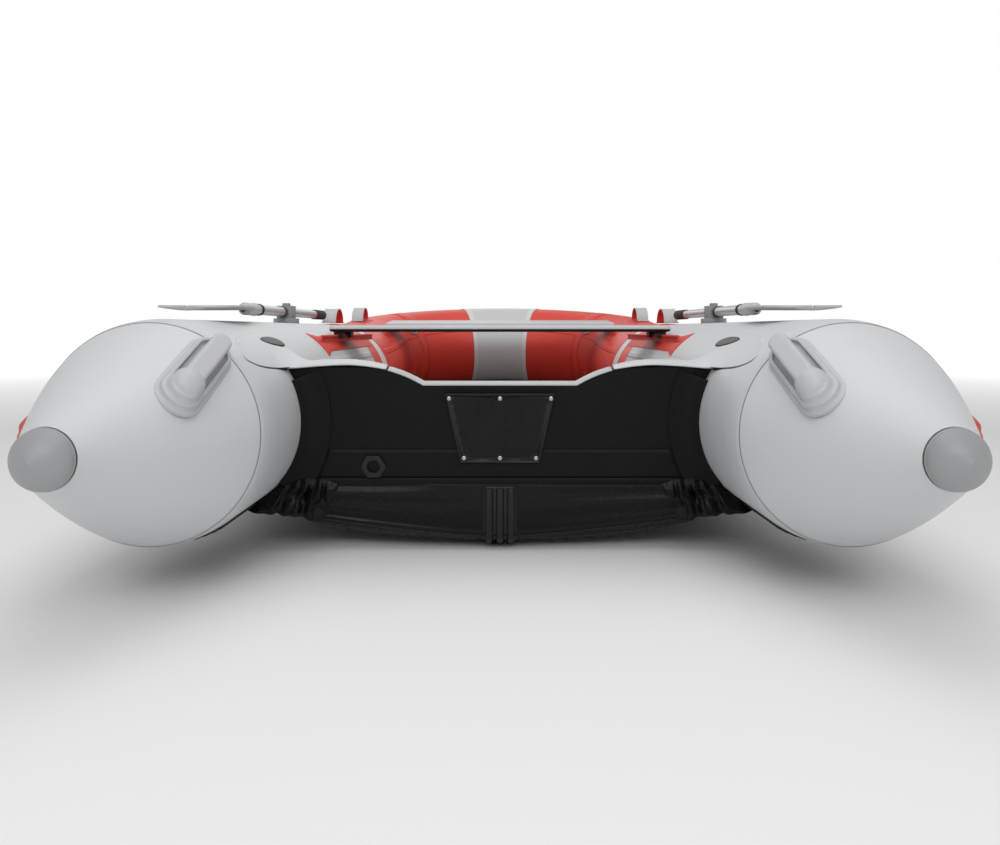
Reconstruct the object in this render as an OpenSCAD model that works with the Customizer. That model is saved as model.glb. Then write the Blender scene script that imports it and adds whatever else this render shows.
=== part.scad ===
// Inflatable dinghy: two stern tubes and a bow tube round a boarded cockpit, with a
// wooden transom for an outboard, two sliding seats and a pair of oars on rowlock pins.
// Millimetres. +Z is up, +Y is the bow, +X is starboard. The origin is on the ground
// under the middle of the boat.

/* [Hull] */
// Length over all, from the cone caps to the rub strake at the bow
length_over = 3300; // [2750:10:3960]
// Beam over all, across the rub strakes
beam = 1708; // [1420:2:2000]
// Diameter of the inflated tubes
tube_d = 420; // [350:5:460]
// How far the keel lies below the tubes
keel_drop = 85; // [70:1:110]
// How far the bow rises above the stern
bow_rise = 92; // [40:1:150]
// Length of the rounded bow, from the straight legs to its front
bow_sweep = 480; // [400:5:500]
// Where the bow chamber starts on the legs, ahead of amidships
bow_chamber_y = 300; // [200:10:420]
// Thickness of the rub strake
strake_t = 9; // [6:1:14]
// Width of the rub strake
strake_w = 52; // [36:1:70]

/* [Stern cones] */
// Length of each stern cone, from its seam to its cap
cone_len = 328; // [270:2:390]
// Radius of the moulded cap that closes a cone
cap_r = 45; // [36:1:54]
// Length of the moulded cap
cap_len = 44; // [34:1:52]
// Height of the cap's centre above the tube's axis
cap_lift = 9; // [0:1:24]

/* [Transom] */
// How far the outer face stands ahead of the cone caps, at mid height
transom_inset = 638; // [560:2:760]
// Thickness of the board
transom_t = 30; // [22:1:38]
// How far the board leans aft, in degrees
transom_rake = 8; // [4:1:12]
// Height of the notch for the motor above the keel
notch_z = 365; // [330:1:385]
// Height of the shoulders above the keel
shoulder_z = 404; // [392:1:415]
// Width of the flat of the notch
notch_w = 330; // [260:2:380]
// Radius of the drain bore
drain_r = 14; // [10:0.5:17]

/* [Floor] */
// Thickness of the aluminium floor boards
board_t = 14; // [10:1:18]
// Radius of the inflated keel tube
keel_r = 48; // [42:1:54]
// Thickness of the bottom skin
skin_t = 6; // [4:0.5:8]

/* [Seats] */
// Width of a seat, fore and aft
seat_w = 220; // [170:5:260]
// Thickness of a seat
seat_t = 20; // [14:1:26]
// Middle of the aft seat
aft_seat_y = -260; // [-330:5:-180]
// How far the middle of the fore seat lies aft of the bow's curve
fore_seat_inset = 81; // [80:1:160]

/* [Oars] */
// Diameter of the oar shaft
shaft_d = 28; // [22:0.4:34]
// Distance from the rowlock pin to the end of the grip
oar_inboard = 470; // [380:5:480]
// Distance from the rowlock pin to the tip of the blade
oar_outboard = 745; // [620:5:860]
// Length of the blade
blade_l = 400; // [320:5:460]
// Width of the blade
blade_w = 168; // [130:2:190]
// Radius of the rowlock pin
pin_r = 6; // [4.5:0.5:7]

/* [Hidden] */
$fn = 96;
gap = 0.3;             // clearance between pieces that lie against each other
run = 0.05;            // radial clearance of a running fit

// Hull lines
tube_r = tube_d / 2;
tube_x = beam / 2 - strake_t - tube_r;
axis_z = keel_drop + tube_r;
tube_top = axis_z + tube_r;
stern_y = -length_over / 2;
bow_axis_y = length_over / 2 - strake_t - tube_r;
bow_start_y = bow_axis_y - bow_sweep;
cone_end_y = stern_y + cap_len;
seam_y = cone_end_y + cone_len;
seam_r = 0.98 * tube_r;
shoulder_len = 54;     // from the seam to the full diameter
seam_lift = 2.7;       // the cone's axis starts this far above the tube's

// Centre line of the bow chamber: straight legs, then half an ellipse, with the sheer
// rising from the chamber's joint. u runs 0 to 1 from the port joint to the starboard one.
leg_share = 0.22;
function leg_y(t) = bow_chamber_y + t * (bow_start_y - bow_chamber_y);
function plan(u) =
    u < leg_share ? [-tube_x, leg_y(u / leg_share)]
    : u > 1 - leg_share ? [tube_x, leg_y((1 - u) / leg_share)]
    : let (a = 180 * (u - leg_share) / (1 - 2 * leg_share))
      [-tube_x * cos(a), bow_start_y + bow_sweep * sin(a)];
function rise(y) =
    y <= bow_chamber_y ? 0
    : bow_rise * pow((y - bow_chamber_y) / (bow_axis_y - bow_chamber_y), 2);
function sheer_angle(y) =
    atan(2 * bow_rise * (y - bow_chamber_y) / pow(bow_axis_y - bow_chamber_y, 2));
function centre(u) = let (p = plan(u)) [p[0], p[1], axis_z + rise(p[1])];
function unit(v) = v / norm(v);
step_u = 0.002;
function tangent(u) =
    u <= 0 ? [0, 1, 0]
    : u >= 1 ? [0, -1, 0]
    : unit(centre(min(1, u + step_u)) - centre(max(0, u - step_u)));
// Outward normal in plan, and the upward one across the tube
function outward(u) = let (t = tangent(u)) unit([-t[1], t[0], 0]);
function upward(u) = cross(outward(u), tangent(u)) * -1;
// A point r from the centre line, at angle a above the outward side
function on_tube(u, r, a) = centre(u) + r * (cos(a) * outward(u) + sin(a) * upward(u));

// Skin over rings of points, closed at both ends by a face
module swept(rings) {
    n = len(rings[0]);
    m = len(rings);
    polyhedron(
        points = [for (ring = rings) each ring],
        faces = concat(
            [[for (j = [n - 1:-1:0]) j]],
            [for (i = [0:m - 2], j = [0:n - 1])
                let (k = (j + 1) % n)
                [i * n + j, i * n + k, (i + 1) * n + k, (i + 1) * n + j]],
            [[for (j = [0:n - 1]) (m - 1) * n + j]]),
        convexity = 6);
}
module mirrored() {
    mirror([1, 0, 0]) children();
}
// Lays a shape drawn along +Z so that it runs towards the bow
module along_y() {
    rotate([-90, 0, 0]) children();
}

// ---------------------------------------------------------------- inflated tubes
bow_rings = 44;
bow_sides = 40;
module bow_tube() {
    color("#c8362b")
    swept([for (i = [0:bow_rings]) let (u = i / bow_rings)
        [for (j = [0:bow_sides - 1]) on_tube(u, tube_r, -360 * j / bow_sides)]]);
}
// Straight leg, with its shoulder down to the cone's seam
module leg() {
    steps = 6;
    straight_y = seam_y + shoulder_len;
    translate([-tube_x, 0, axis_z])
    along_y()
    rotate_extrude()
    polygon(concat(
        [[0, seam_y]],
        [for (i = [0:steps]) let (t = i / steps)
            [tube_r - (tube_r - seam_r) * pow(1 - t, 2), seam_y + t * (straight_y - seam_y)]],
        [[tube_r, bow_chamber_y], [0, bow_chamber_y]]));
}
// Tapered stern cone, which lifts a little towards its cap
function cone_r(t) = seam_r - (seam_r - cap_r) * pow(t, 1.12);
function cone_z(t) = axis_z + cap_lift * t;
module cone() {
    steps = 10;
    sides = 48;
    swept([for (i = [0:steps]) let (t = i / steps, y = seam_y - gap / 2 - t * cone_len)
        [for (j = [0:sides - 1]) let (a = 360 * j / sides)
            [-tube_x + cone_r(t) * cos(a), y, cone_z(t) + cone_r(t) * sin(a)]]]);
}
// Moulded cap with a rounded nose and a small moulding point
module cone_cap() {
    steps = 10;
    end_y = cone_end_y - gap;
    nose = end_y - stern_y;
    point_r = 3;
    translate([-tube_x, 0, axis_z + cap_lift])
    along_y()
    rotate_extrude()
    polygon(concat(
        [[0, end_y], [cap_r, end_y], [cap_r, end_y - 8]],
        [for (i = [1:steps - 1]) let (a = 90 * i / steps)
            [cap_r * cos(a), end_y - 8 - (nose - 9.5) * sin(a)]],
        [[point_r, stern_y + 1.5], [point_r, stern_y], [0, stern_y]]));
}
module port_tube() { color("#cfd0d2") leg(); }
module starboard_tube() { color("#cfd0d2") mirrored() leg(); }
module port_cone() { color("#cfd0d2") cone(); }
module starboard_cone() { color("#cfd0d2") mirrored() cone(); }
module port_cone_cap() { color("#a2a4a6") cone_cap(); }
module starboard_cone_cap() { color("#a2a4a6") mirrored() cone_cap(); }

// ---------------------------------------------------------------- bottom and keel
skin_angle = 27;                       // where the skin meets a tube, from its lowest line
strip_t = 10;                          // height of the ribbed keel strip
strip_w = 70;
keel_z = strip_t;                      // lowest line of the skin
keel_rise_y = bow_start_y - 551;       // where the keel starts to climb to the bow
transom_y = stern_y + transom_inset;   // outer face of the board at mid height
transom_mid_z = 250;
function transom_face_y(z) = transom_y - (z - transom_mid_z) * tan(transom_rake);
skin_start_y = transom_face_y(keel_z) + transom_t / cos(transom_rake) + 12;
seat_r = tube_r + gap;                 // radius at which things lie on a tube
// Where the skin's edge lies on the port tube, for a place along the boat
edge_r = seat_r + skin_t * cos(skin_angle);
function skin_edge_low(u) = on_tube(u, edge_r, -90 - skin_angle);
bow_skin_y = skin_edge_low(0.5)[1];
bow_skin_z = skin_edge_low(0.5)[2];
function keel_line(y) =
    y <= keel_rise_y ? keel_z
    : keel_z + (bow_skin_z - keel_z) * pow((y - keel_rise_y) / (bow_skin_y - keel_rise_y), 2.2);
skin_edge_x = tube_x - edge_r * sin(skin_angle);
skin_edge_z = axis_z - edge_r * cos(skin_angle);
skin_cols = 5;
skin_power = 1.8;                      // 1 would be a straight V, 2 a round belly
// Lower edge points of the skin, from the transom to just short of the bow
skin_edges = concat(
    [for (i = [0:3]) let (y = skin_start_y + i * (bow_chamber_y - skin_start_y) / 4)
        [-skin_edge_x, y, skin_edge_z]],
    [for (i = [0:20]) skin_edge_low(0.485 * i / 20)]);
function skin_row(e, up) =
    [for (j = [-skin_cols:skin_cols]) let (s = j / skin_cols)
        [-s * e[0], e[1], keel_line(e[1]) + (e[2] - keel_line(e[1])) * pow(abs(s), skin_power) + up]];
module bottom_skin() {
    color("#17181a")
    swept([for (e = skin_edges)
        let (low = skin_row(e, 0), high = skin_row(e, skin_t))
        concat([for (j = [len(low) - 1:-1:0]) low[j]], high)]);
}
keel_tube_y0 = skin_start_y + 20;
keel_tube_y1 = keel_rise_y;
keel_axis_z = keel_z + skin_t + keel_r + gap;
module keel_tube() {
    color("#2a2c2e")
    translate([0, keel_tube_y0, keel_axis_z])
    along_y()
    cylinder(r = keel_r, h = keel_tube_y1 - keel_tube_y0);
}
// Strip of three ribs glued under the keel
module keel_strip() {
    rib_w = 16;
    pitch = 24;
    color("#101112")
    translate([0, skin_start_y, 0])
    along_y()
    union() {
        translate([-strip_w / 2, -(strip_t - gap), 0])
        cube([strip_w, 3, keel_rise_y - skin_start_y]);
        for (i = [-1:1])
            translate([i * pitch - rib_w / 2, -(strip_t - gap), 0])
            cube([rib_w, strip_t - gap, keel_rise_y - skin_start_y]);
    }
}

// ---------------------------------------------------------------- transom
function board_z(z) = (z - transom_mid_z) / cos(transom_rake);
slope_w = 130;                         // run of the curve from the notch to a shoulder
slope_steps = 8;
// Half the width between the tubes at a height
function clear_half(z) = tube_x - sqrt(pow(tube_r, 2) - pow(z - axis_z, 2));
v_z = 44;                              // lowest point of the board
v_side = [tube_x - 235, 89];
corner = [[tube_x - 183, 112], [tube_x - 0.55 * tube_r, 200]];
shoulder_half = clear_half(shoulder_z) + 32;
function edge_z(x) =
    x <= notch_w / 2 ? notch_z
    : x >= notch_w / 2 + slope_w ? shoulder_z
    : let (t = (x - notch_w / 2) / slope_w)
      notch_z + (shoulder_z - notch_z) * (1 - pow(1 - t, 2));
// Right half of the top edge, from the middle out to x1
function top_edge(x1) = concat(
    [[0, notch_z]],
    [for (i = [0:slope_steps]) let (x = notch_w / 2 + slope_w * i / slope_steps)
        if (x < x1) [x, edge_z(x)]],
    [[x1, edge_z(x1)]]);
function both_sides(half) = concat(
    half, [for (i = [len(half) - 1:-1:0]) if (half[i][0] > 0) [-half[i][0], half[i][1]]]);
function in_board(points) = [for (p = points) [p[0], board_z(p[1])]];
// Lays a shape drawn in the board's plane, y up, with its thickness towards the bow
module on_transom(t, off = 0) {
    translate([0, transom_y, transom_mid_z])
    rotate([transom_rake, 0, 0])
    translate([0, off + t, 0])
    rotate([90, 0, 0])
    linear_extrude(t)
    children();
}
module both_tubes(r) {
    for (side = [-1, 1])
        translate([side * tube_x, stern_y, axis_z])
        along_y()
        cylinder(r = r, h = length_over / 2 + bow_chamber_y);
}
drain_x = -275;
drain_z = 189;
sleeve_r = drain_r + 4;
module transom_board() {
    color("#141516")
    difference() {
        on_transom(transom_t)
        difference() {
            polygon(in_board(both_sides(concat(
                top_edge(shoulder_half), [corner[1], corner[0], v_side, [0, v_z]]))));
            translate([drain_x, board_z(drain_z)])
            circle(r = sleeve_r + gap);
            for (p = screw_points) translate([p[0], p[1]]) circle(r = screw_r + gap);
        }
        both_tubes(seat_r);
    }
}
trim_t = 4;
trim_reach = 240;
module transom_trim() {
    lower = top_edge(trim_reach);
    upper = [for (p = lower) [p[0], p[1] + trim_t + gap]];
    seat = [for (p = lower) [p[0], p[1] + gap]];
    half = concat(upper, [for (i = [len(seat) - 1:-1:0]) seat[i]]);
    color("#c4c6c8")
    for (side = [0, 1])
        mirror([side, 0, 0])
        on_transom(transom_t + 4, -2)
        polygon(in_board(half));
}
// Apron of tube fabric over a shoulder, with a gusset that runs aft along the tube
flap_t = 8;
flap_z = shoulder_z + transom_t * sin(transom_rake) + 2 * gap;
flap_low_angle = acos((flap_z - axis_z) / seat_r);   // from the top of the tube, inboard
flap_top_angle = flap_low_angle - 10;
flap_aft_y = transom_y - 234;
module transom_flap() {
    inner_x = -(trim_reach + 1);
    side_x = -(tube_x - seat_r * sin(flap_low_angle) - 1);
    tuck_x = inner_x + 0.58 * (side_x - inner_x);
    face = transom_face_y(shoulder_z);
    union() {
        translate([0, 0, flap_z])
        linear_extrude(flap_t)
        polygon([[inner_x, face - 10], [inner_x, face + transom_t + 12],
            [side_x, face + transom_t + 12], [side_x, face - 110], [tuck_x, face - 24]]);
        translate([-tube_x, 0, axis_z])
        along_y()
        rotate([0, 0, flap_top_angle - 90])
        rotate_extrude(angle = flap_low_angle - flap_top_angle)
        polygon([[seat_r, flap_aft_y], [seat_r + 3, flap_aft_y],
            [seat_r + 3, face + transom_t + 60], [seat_r, face + transom_t + 60]]);
    }
}
module port_transom_flap() { color("#d9dadb") transom_flap(); }
module starboard_transom_flap() { color("#d9dadb") mirrored() transom_flap(); }

// Pads that the motor's clamps press on, screwed through the board
pad_top_z = 350;
pad_h = 154;
pad_top_w = 235;
pad_foot_w = 172;
pad_t = 8;
screw_r = 3;
screw_head_r = 5.5;
screw_z = [board_z(pad_top_z) - 11, board_z(pad_top_z) - pad_h + 11];
screw_dx = [pad_top_w / 2 - 8, pad_foot_w / 2 - 8];
screw_points = [for (i = [0, 1], side = [-1, 0, 1]) [side * screw_dx[i], screw_z[i]]];
// Heads and nuts lie in recesses, just under the faces that the motor bears on
head_t = 3;
recess_t = head_t + 2 * gap;
pad_off = [-pad_t - gap, transom_t + gap];           // outer pad and inner pad
recess_off = [pad_off[0] - 1, pad_off[1] + pad_t - recess_t];
module at_screws(t, off, r) {
    for (p = screw_points) on_transom(t, off) translate([p[0], p[1]]) circle(r = r);
}
module motor_pad(i) {
    top = board_z(pad_top_z);
    difference() {
        on_transom(pad_t, pad_off[i])
        polygon([[-pad_top_w / 2, top], [-pad_foot_w / 2, top - pad_h],
            [pad_foot_w / 2, top - pad_h], [pad_top_w / 2, top]]);
        at_screws(pad_t + 2, pad_off[i] - 1, screw_r + gap);
        at_screws(recess_t + 1, recess_off[i], screw_head_r + gap);
    }
}
module outer_motor_pad() { color("#1c1d1f") motor_pad(0); }
module inner_motor_pad() { color("#1c1d1f") motor_pad(1); }
module motor_pad_screws() {
    first = pad_off[0] + gap;
    last = pad_off[1] + pad_t - gap;
    color("#c9cdd0")
    union() {
        at_screws(last - first, first, screw_r);
        at_screws(head_t, first, screw_head_r);
        at_screws(head_t, last - head_t, screw_head_r);
    }
}
// Hexagonal outer flange with a sleeve through the board, and an inner ring
flange_t = 8;
module drain_flange() {
    color("#121314") {
        on_transom(flange_t, -flange_t - gap)
        translate([drain_x, board_z(drain_z)])
        difference() {
            circle(r = 2 * drain_r, $fn = 6);
            circle(r = drain_r);
        }
        on_transom(transom_t + 4, -gap)
        translate([drain_x, board_z(drain_z)])
        difference() {
            circle(r = sleeve_r);
            circle(r = drain_r);
        }
    }
}
plug_reach = 18;
module drain_plug() {
    color("#1a1b1c") {
        on_transom(plug_reach, transom_t + 4 - plug_reach)
        translate([drain_x, board_z(drain_z)]) circle(r = drain_r - run);
        on_transom(6, transom_t + 4)
        translate([drain_x, board_z(drain_z)]) circle(r = sleeve_r + 6);
        on_transom(14, transom_t + 10)
        translate([drain_x, board_z(drain_z)]) square([6, 28], center = true);
    }
}

// ---------------------------------------------------------------- floor
floor_z = keel_axis_z + keel_r + 2.6;
floor_top = floor_z + board_t;
floor_y0 = transom_face_y(floor_z) + transom_t / cos(transom_rake) + 12;
floor_y1 = bow_start_y - 331;
joint_w = 8;
floor_half = clear_half(floor_top) - 30;
board_l = (floor_y1 - floor_y0 - 3 * joint_w) / 4;
function floor_board_y(i) = floor_y0 + i * (board_l + joint_w);
module floor_board(i) {
    color("#b9bdbf")
    translate([-floor_half, floor_board_y(i), floor_z])
    cube([2 * floor_half, board_l, board_t]);
}
module aft_floor_board() { floor_board(0); }
module mid_aft_floor_board() { floor_board(1); }
module mid_fore_floor_board() { floor_board(2); }
module fore_floor_board() { floor_board(3); }
// Strips of H section that hold the boards end to end
flange_w = 26;
joiner_half = floor_half - 24;
module floor_joiners() {
    color("#a8acae")
    for (i = [1:3]) translate([-joiner_half, floor_board_y(i) - joint_w / 2, 0]) {
        translate([0, -joint_w / 2 + gap, floor_z - gap])
        cube([2 * joiner_half, joint_w - 2 * gap, board_t + 2 * gap]);
        for (z = [floor_z - gap - 2, floor_top + gap])
            translate([0, -flange_w / 2, z])
            cube([2 * joiner_half, flange_w, 2]);
    }
}
// Channels that stiffen the floor along its sides
stringer_w = 22;
stringer_lap = 16;
module side_stringers() {
    color("#a8acae")
    for (side = [0, 1]) mirror([side, 0, 0])
    translate([floor_half - stringer_lap, floor_y0 + 30, 0])
    difference() {
        translate([0, 0, floor_z - gap - 2.5])
        cube([stringer_w, floor_y1 - floor_y0 - 60, board_t + 2 * gap + 5]);
        translate([-1, -1, floor_z - gap])
        cube([stringer_lap + 1 + gap, floor_y1 - floor_y0, board_t + 2 * gap]);
    }
}
// Sloping board that carries the floor up into the bow
bow_board_inset = 170;
bow_board_lift = 108;
bow_board_run = bow_axis_y - bow_board_inset - floor_y1;
bow_board_angle = atan(bow_board_lift / bow_board_run);
u_floor = leg_share * (floor_y1 - bow_chamber_y) / (bow_start_y - bow_chamber_y);
module bow_board() {
    steps = 26;
    color("#141516")
    translate([0, floor_y1 + (board_t - 2) * sin(bow_board_angle) + gap, floor_z + 1])
    rotate([bow_board_angle, 0, 0])
    linear_extrude(board_t - 2)
    polygon([for (i = [0:steps])
        let (u = u_floor + (1 - 2 * u_floor) * i / steps,
             p = plan(u) - bow_board_inset * [outward(u)[0], outward(u)[1]])
        [p[0], p[1] - floor_y1]]);
}

// ---------------------------------------------------------------- seats and rails
bead_r = 4;
bead_out = tube_r - 65;                // bead's place inboard of the tube's axis
rail_foot = sqrt(pow(seat_r + 1, 2) - pow(bead_out, 2));
bead_up = rail_foot + 18;              // and above it
seat_up = bead_up + 12;                // underside of a seat above the tube's axis
seat_half = tube_x - bead_out + 25;
strip_angle = asin(bead_out / tube_r);
patch_t = 2;
fore_rail = [bow_start_y - 291, bow_start_y - 1];
aft_rail = [-560, bow_chamber_y - 40];
fore_rail_mid = (fore_rail[0] + fore_rail[1]) / 2;
fore_slope = atan((rise(fore_rail[1]) - rise(fore_rail[0])) / (fore_rail[1] - fore_rail[0]));
fore_lift = (rise(fore_rail[0]) + rise(fore_rail[1])) / 2;
// Puts a shape drawn about the tubes' axis, with y from the middle of the fore rail,
// onto the rising bow
module on_bow_slope() {
    translate([0, fore_rail_mid, axis_z + fore_lift])
    rotate([fore_slope, 0, 0])
    children();
}
// Shell of a tube's surface, cut to an outline drawn flat over the line at angle a
module surface_patch(a, t, lift) {
    intersection() {
        translate([-tube_x, -1400, 0])
        along_y()
        difference() {
            cylinder(r = seat_r + lift + t, h = 2800);
            translate([0, 0, -1]) cylinder(r = seat_r + lift, h = 2802);
        }
        translate([-tube_x, 0, 0])
        rotate([0, a, 0])
        translate([0, 0, tube_r * 0.6])
        linear_extrude(tube_r * 0.5)
        children();
    }
}
// Standing flap of a rail, with the bead that the seat clips grip
web_t = 2.4;
module bead_flap(y0, y1) {
    translate([-tube_x + bead_out - web_t / 2, y0, rail_foot])
    cube([web_t, y1 - y0, bead_up - rail_foot]);
    translate([-tube_x + bead_out, y0, bead_up])
    along_y()
    cylinder(r = bead_r, h = y1 - y0);
}
strip_half = 30;
tail_half = 45;
module rail(y0, y1) {
    union() {
        surface_patch(strip_angle, patch_t, 0)
        polygon([[-strip_half, y0 + 30], [-tail_half, y0 - 40], [tail_half, y0 - 40],
            [strip_half, y0 + 30], [strip_half, y1], [-strip_half, y1]]);
        bead_flap(y0, y1);
    }
}
module short_rail(y0, y1) {
    union() {
        surface_patch(strip_angle, patch_t, rail_lift)
        translate([-strip_half, y0]) square([2 * strip_half, y1 - y0]);
        bead_flap(y0, y1);
    }
}
module aft_rail_here() {
    translate([0, 0, axis_z]) rail(aft_rail[0], aft_rail[1]);
}
module fore_rail_here() {
    on_bow_slope() short_rail(fore_rail[0] - fore_rail_mid, fore_rail[1] - fore_rail_mid);
}
module port_aft_rail() { color("#b8332a") aft_rail_here(); }
module starboard_aft_rail() { color("#b8332a") mirrored() aft_rail_here(); }
module port_fore_rail() { color("#b8332a") fore_rail_here(); }
module starboard_fore_rail() { color("#b8332a") mirrored() fore_rail_here(); }

module rounded_bar(l, w, r) {
    union() {
        square([l - 2 * r, w], center = true);
        square([l, w - 2 * r], center = true);
        for (i = [-1, 1], j = [-1, 1])
            translate([i * (l / 2 - r), j * (w / 2 - r)]) circle(r = r);
    }
}
module plank(y) {
    translate([0, y, seat_up])
    linear_extrude(seat_t)
    rounded_bar(2 * seat_half, seat_w, 14);
}
// Clips under both ends of a seat, each closed round the bead of its rail
clip_w = 24;
bed = 0.1;             // joint between a clip and its plank
rail_lift = 0.2;       // the fore rail's patch above its seat
// The foot of a clip clears the patch below its outer side, where the patch is highest
clip_foot = sqrt(pow(seat_r + rail_lift + patch_t, 2) - pow(bead_out - clip_w / 2, 2)) + gap;
module clips(y, pitch, l) {
    for (side = [0, 1], k = [-1, 1]) mirror([side, 0, 0])
    translate([-tube_x + bead_out, y + k * pitch - l / 2, 0])
    difference() {
        translate([-clip_w / 2, 0, clip_foot])
        cube([clip_w, l, seat_up - clip_foot - bed]);
        translate([0, -1, bead_up])
        along_y()
        cylinder(r = bead_r + gap, h = l + 2);
        translate([-web_t / 2 - gap, -1, bead_up - 8])
        cube([web_t + 2 * gap, l + 2, 8]);
    }
}
module aft_seat_plank() {
    color("#c9cccd") translate([0, 0, axis_z]) plank(aft_seat_y);
}
module aft_seat_clips() {
    color("#191a1b") translate([0, 0, axis_z]) clips(aft_seat_y, 70, 50);
}
fore_seat_y = bow_start_y - fore_seat_inset;
module fore_seat_plank() {
    color("#c9cccd") on_bow_slope() plank(fore_seat_y - fore_rail_mid);
}
module fore_seat_clips() {
    color("#191a1b") on_bow_slope() clips(fore_seat_y - fore_rail_mid, 54, 40);
}

// ---------------------------------------------------------------- rub strake
strake_angle = 6;                      // its middle above the tube's widest line
strake_cone_steps = 6;
strake_section = [[0, 1], [0, 0.5], [0, 0], [0, -0.5], [0, -1], [1, -0.6], [1, 0], [1, 0.6]];
// One ring of the strake round a tube of radius r; out is the way outboard
function strake_ring(mid, r, out, up) =
    let (half = asin(strake_w / 2 / r))
    [for (s = strake_section)
        let (a = strake_angle + half * s[1], q = r + gap + (strake_t - gap) * s[0])
        mid + q * (cos(a) * out + sin(a) * up)];
function port_strake() = concat(
    [for (i = [strake_cone_steps:-1:0]) let (t = i / 10)
        strake_ring([-tube_x, seam_y - t * cone_len, cone_z(t)], cone_r(t), [-1, 0, 0], [0, 0, 1])],
    [for (t = [1 / 3, 2 / 3, 1])
        strake_ring([-tube_x, seam_y + t * shoulder_len, axis_z],
            tube_r - (tube_r - seam_r) * pow(1 - t, 2), [-1, 0, 0], [0, 0, 1])]);
module rub_strake() {
    port = port_strake();
    bow = [for (i = [0:bow_rings]) let (u = i / bow_rings)
        strake_ring(centre(u), tube_r, outward(u), upward(u))];
    starboard = [for (i = [len(port) - 1:-1:0]) [for (p = port[i]) [-p[0], p[1], p[2]]]];
    color("#b8332a") swept(concat(port, bow, starboard));
}

// ---------------------------------------------------------------- stern handles
handle_l = 196;
handle_w = 78;
handle_base_t = 8;
finger_gap = 25;
grip_t = 16;
grip_w = 32;
bulb_r = 23;
handle_around = 47;                    // place round the cone, from its top inboard
handle_t = 0.305;                      // place along the cone
handle_turn = 17;                      // turned off the cone's slope
cone_slope = atan((cone_r(0.05) - cone_r(0.56)) / (0.51 * cone_len));
module stadium(l, w) {
    union() {
        square([l - w, w], center = true);
        for (i = [-1, 1]) translate([i * (l - w) / 2, 0]) circle(d = w);
    }
}
module handle() {
    union() {
        linear_extrude(handle_base_t) stadium(handle_l, handle_w);
        translate([-handle_l / 2 + 32, 0, 0])
        cylinder(r = grip_w / 2, h = handle_base_t + finger_gap + grip_t);
        translate([handle_l / 2 - 32, 0, 0])
        cylinder(r = bulb_r, h = handle_base_t + finger_gap + grip_t);
        translate([0, 0, handle_base_t + finger_gap])
        linear_extrude(grip_t)
        square([handle_l - 64, grip_w], center = true);
    }
}
// The handle lies on the cone's inner shoulder: x runs aft and down the slope, z stands off
module stern_handle() {
    out_r = cone_r(handle_t) + gap;
    translate([-tube_x + out_r * sin(handle_around), seam_y - handle_t * cone_len,
        cone_z(handle_t) + out_r * cos(handle_around)])
    rotate([0, handle_around, 0])
    rotate([cone_slope, 0, 0])
    rotate([0, 0, -90 + handle_turn])
    handle();
}
module port_stern_handle() { color("#9fa1a4") stern_handle(); }
module starboard_stern_handle() { color("#9fa1a4") mirrored() stern_handle(); }

// ---------------------------------------------------------------- strap handles
strap_w = 50;
strap_t = 4;
strap_span = 130;
strap_h = 58;
strap_foot = 24;
aft_strap_y = bow_chamber_y - 50;
fore_strap_y = bow_start_y - 116;
module strap(lift) {
    base_t = 2.5;
    foot_z = seat_r + lift + base_t;
    union() {
        surface_patch(0, base_t, lift)
        square([strap_w + 36, strap_span + 2 * strap_foot + 8], center = true);
        translate([-tube_x - strap_w / 2, 0, foot_z - 1.5])
        rotate([90, 0, 90])
        linear_extrude(strap_w)
        intersection() {
            translate([-strap_span, 0]) square([2 * strap_span, strap_h]);
            difference() {
                scale_y(strap_h / (strap_span / 2)) circle(r = strap_span / 2);
                scale_y((strap_h - strap_t) / (strap_span / 2 - strap_t))
                circle(r = strap_span / 2 - strap_t);
            }
        }
        for (k = [-1, 1])
            translate([-tube_x - strap_w / 2, k * (strap_span / 2 + strap_foot / 2 - strap_t)
                - strap_foot / 2, foot_z - 1.5])
            cube([strap_w, strap_foot, strap_t + 1.5]);
    }
}
// Ellipse made of points, so that an arch keeps an even thickness
module scale_y(k) {
    scale([1, k, 1]) children();
}
module aft_strap() {
    translate([0, aft_strap_y, axis_z]) strap(0);
}
module fore_strap() {
    translate([0, fore_strap_y, axis_z + rise(fore_strap_y)])
    rotate([sheer_angle(fore_strap_y), 0, 0])
    strap(0.5);
}
module port_aft_strap() { color("#c6c8ca") aft_strap(); }
module port_fore_strap() { color("#c6c8ca") fore_strap(); }
module starboard_aft_strap() { color("#c6c8ca") mirrored() aft_strap(); }
module starboard_fore_strap() { color("#c6c8ca") mirrored() fore_strap(); }

// ---------------------------------------------------------------- rowlocks and oars
rowlock_y = -330;
rowlock_x = -(tube_x + 17);
rowlock_base_r = 38;
shaft_z = tube_top + 34;
shaft_r = shaft_d / 2;
collar_h = shaft_d + 10;
collar_w = shaft_d + 16;
collar_l = 52;
shaft_wall = 1.5;
nut_r = 12;
nut_t = 8;
// Round base on the tube with a fixed pin and the nut that keeps the oar on it
module rowlock() {
    base_top = shaft_z - collar_h / 2 - gap;
    union() {
        difference() {
            translate([rowlock_x, rowlock_y, tube_top - 8])
            cylinder(r = rowlock_base_r, h = base_top - tube_top + 8);
            translate([-tube_x, rowlock_y - 60, axis_z])
            along_y()
            cylinder(r = seat_r, h = 120);
        }
        translate([rowlock_x, rowlock_y, base_top - 1])
        cylinder(r = pin_r, h = collar_h + 2 * gap + 2);
        translate([rowlock_x, rowlock_y, shaft_z + collar_h / 2 + gap])
        cylinder(r = nut_r, h = nut_t);
    }
}
module port_rowlock() { color("#8f9194") rowlock(); }
module starboard_rowlock() { color("#8f9194") mirrored() rowlock(); }
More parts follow.
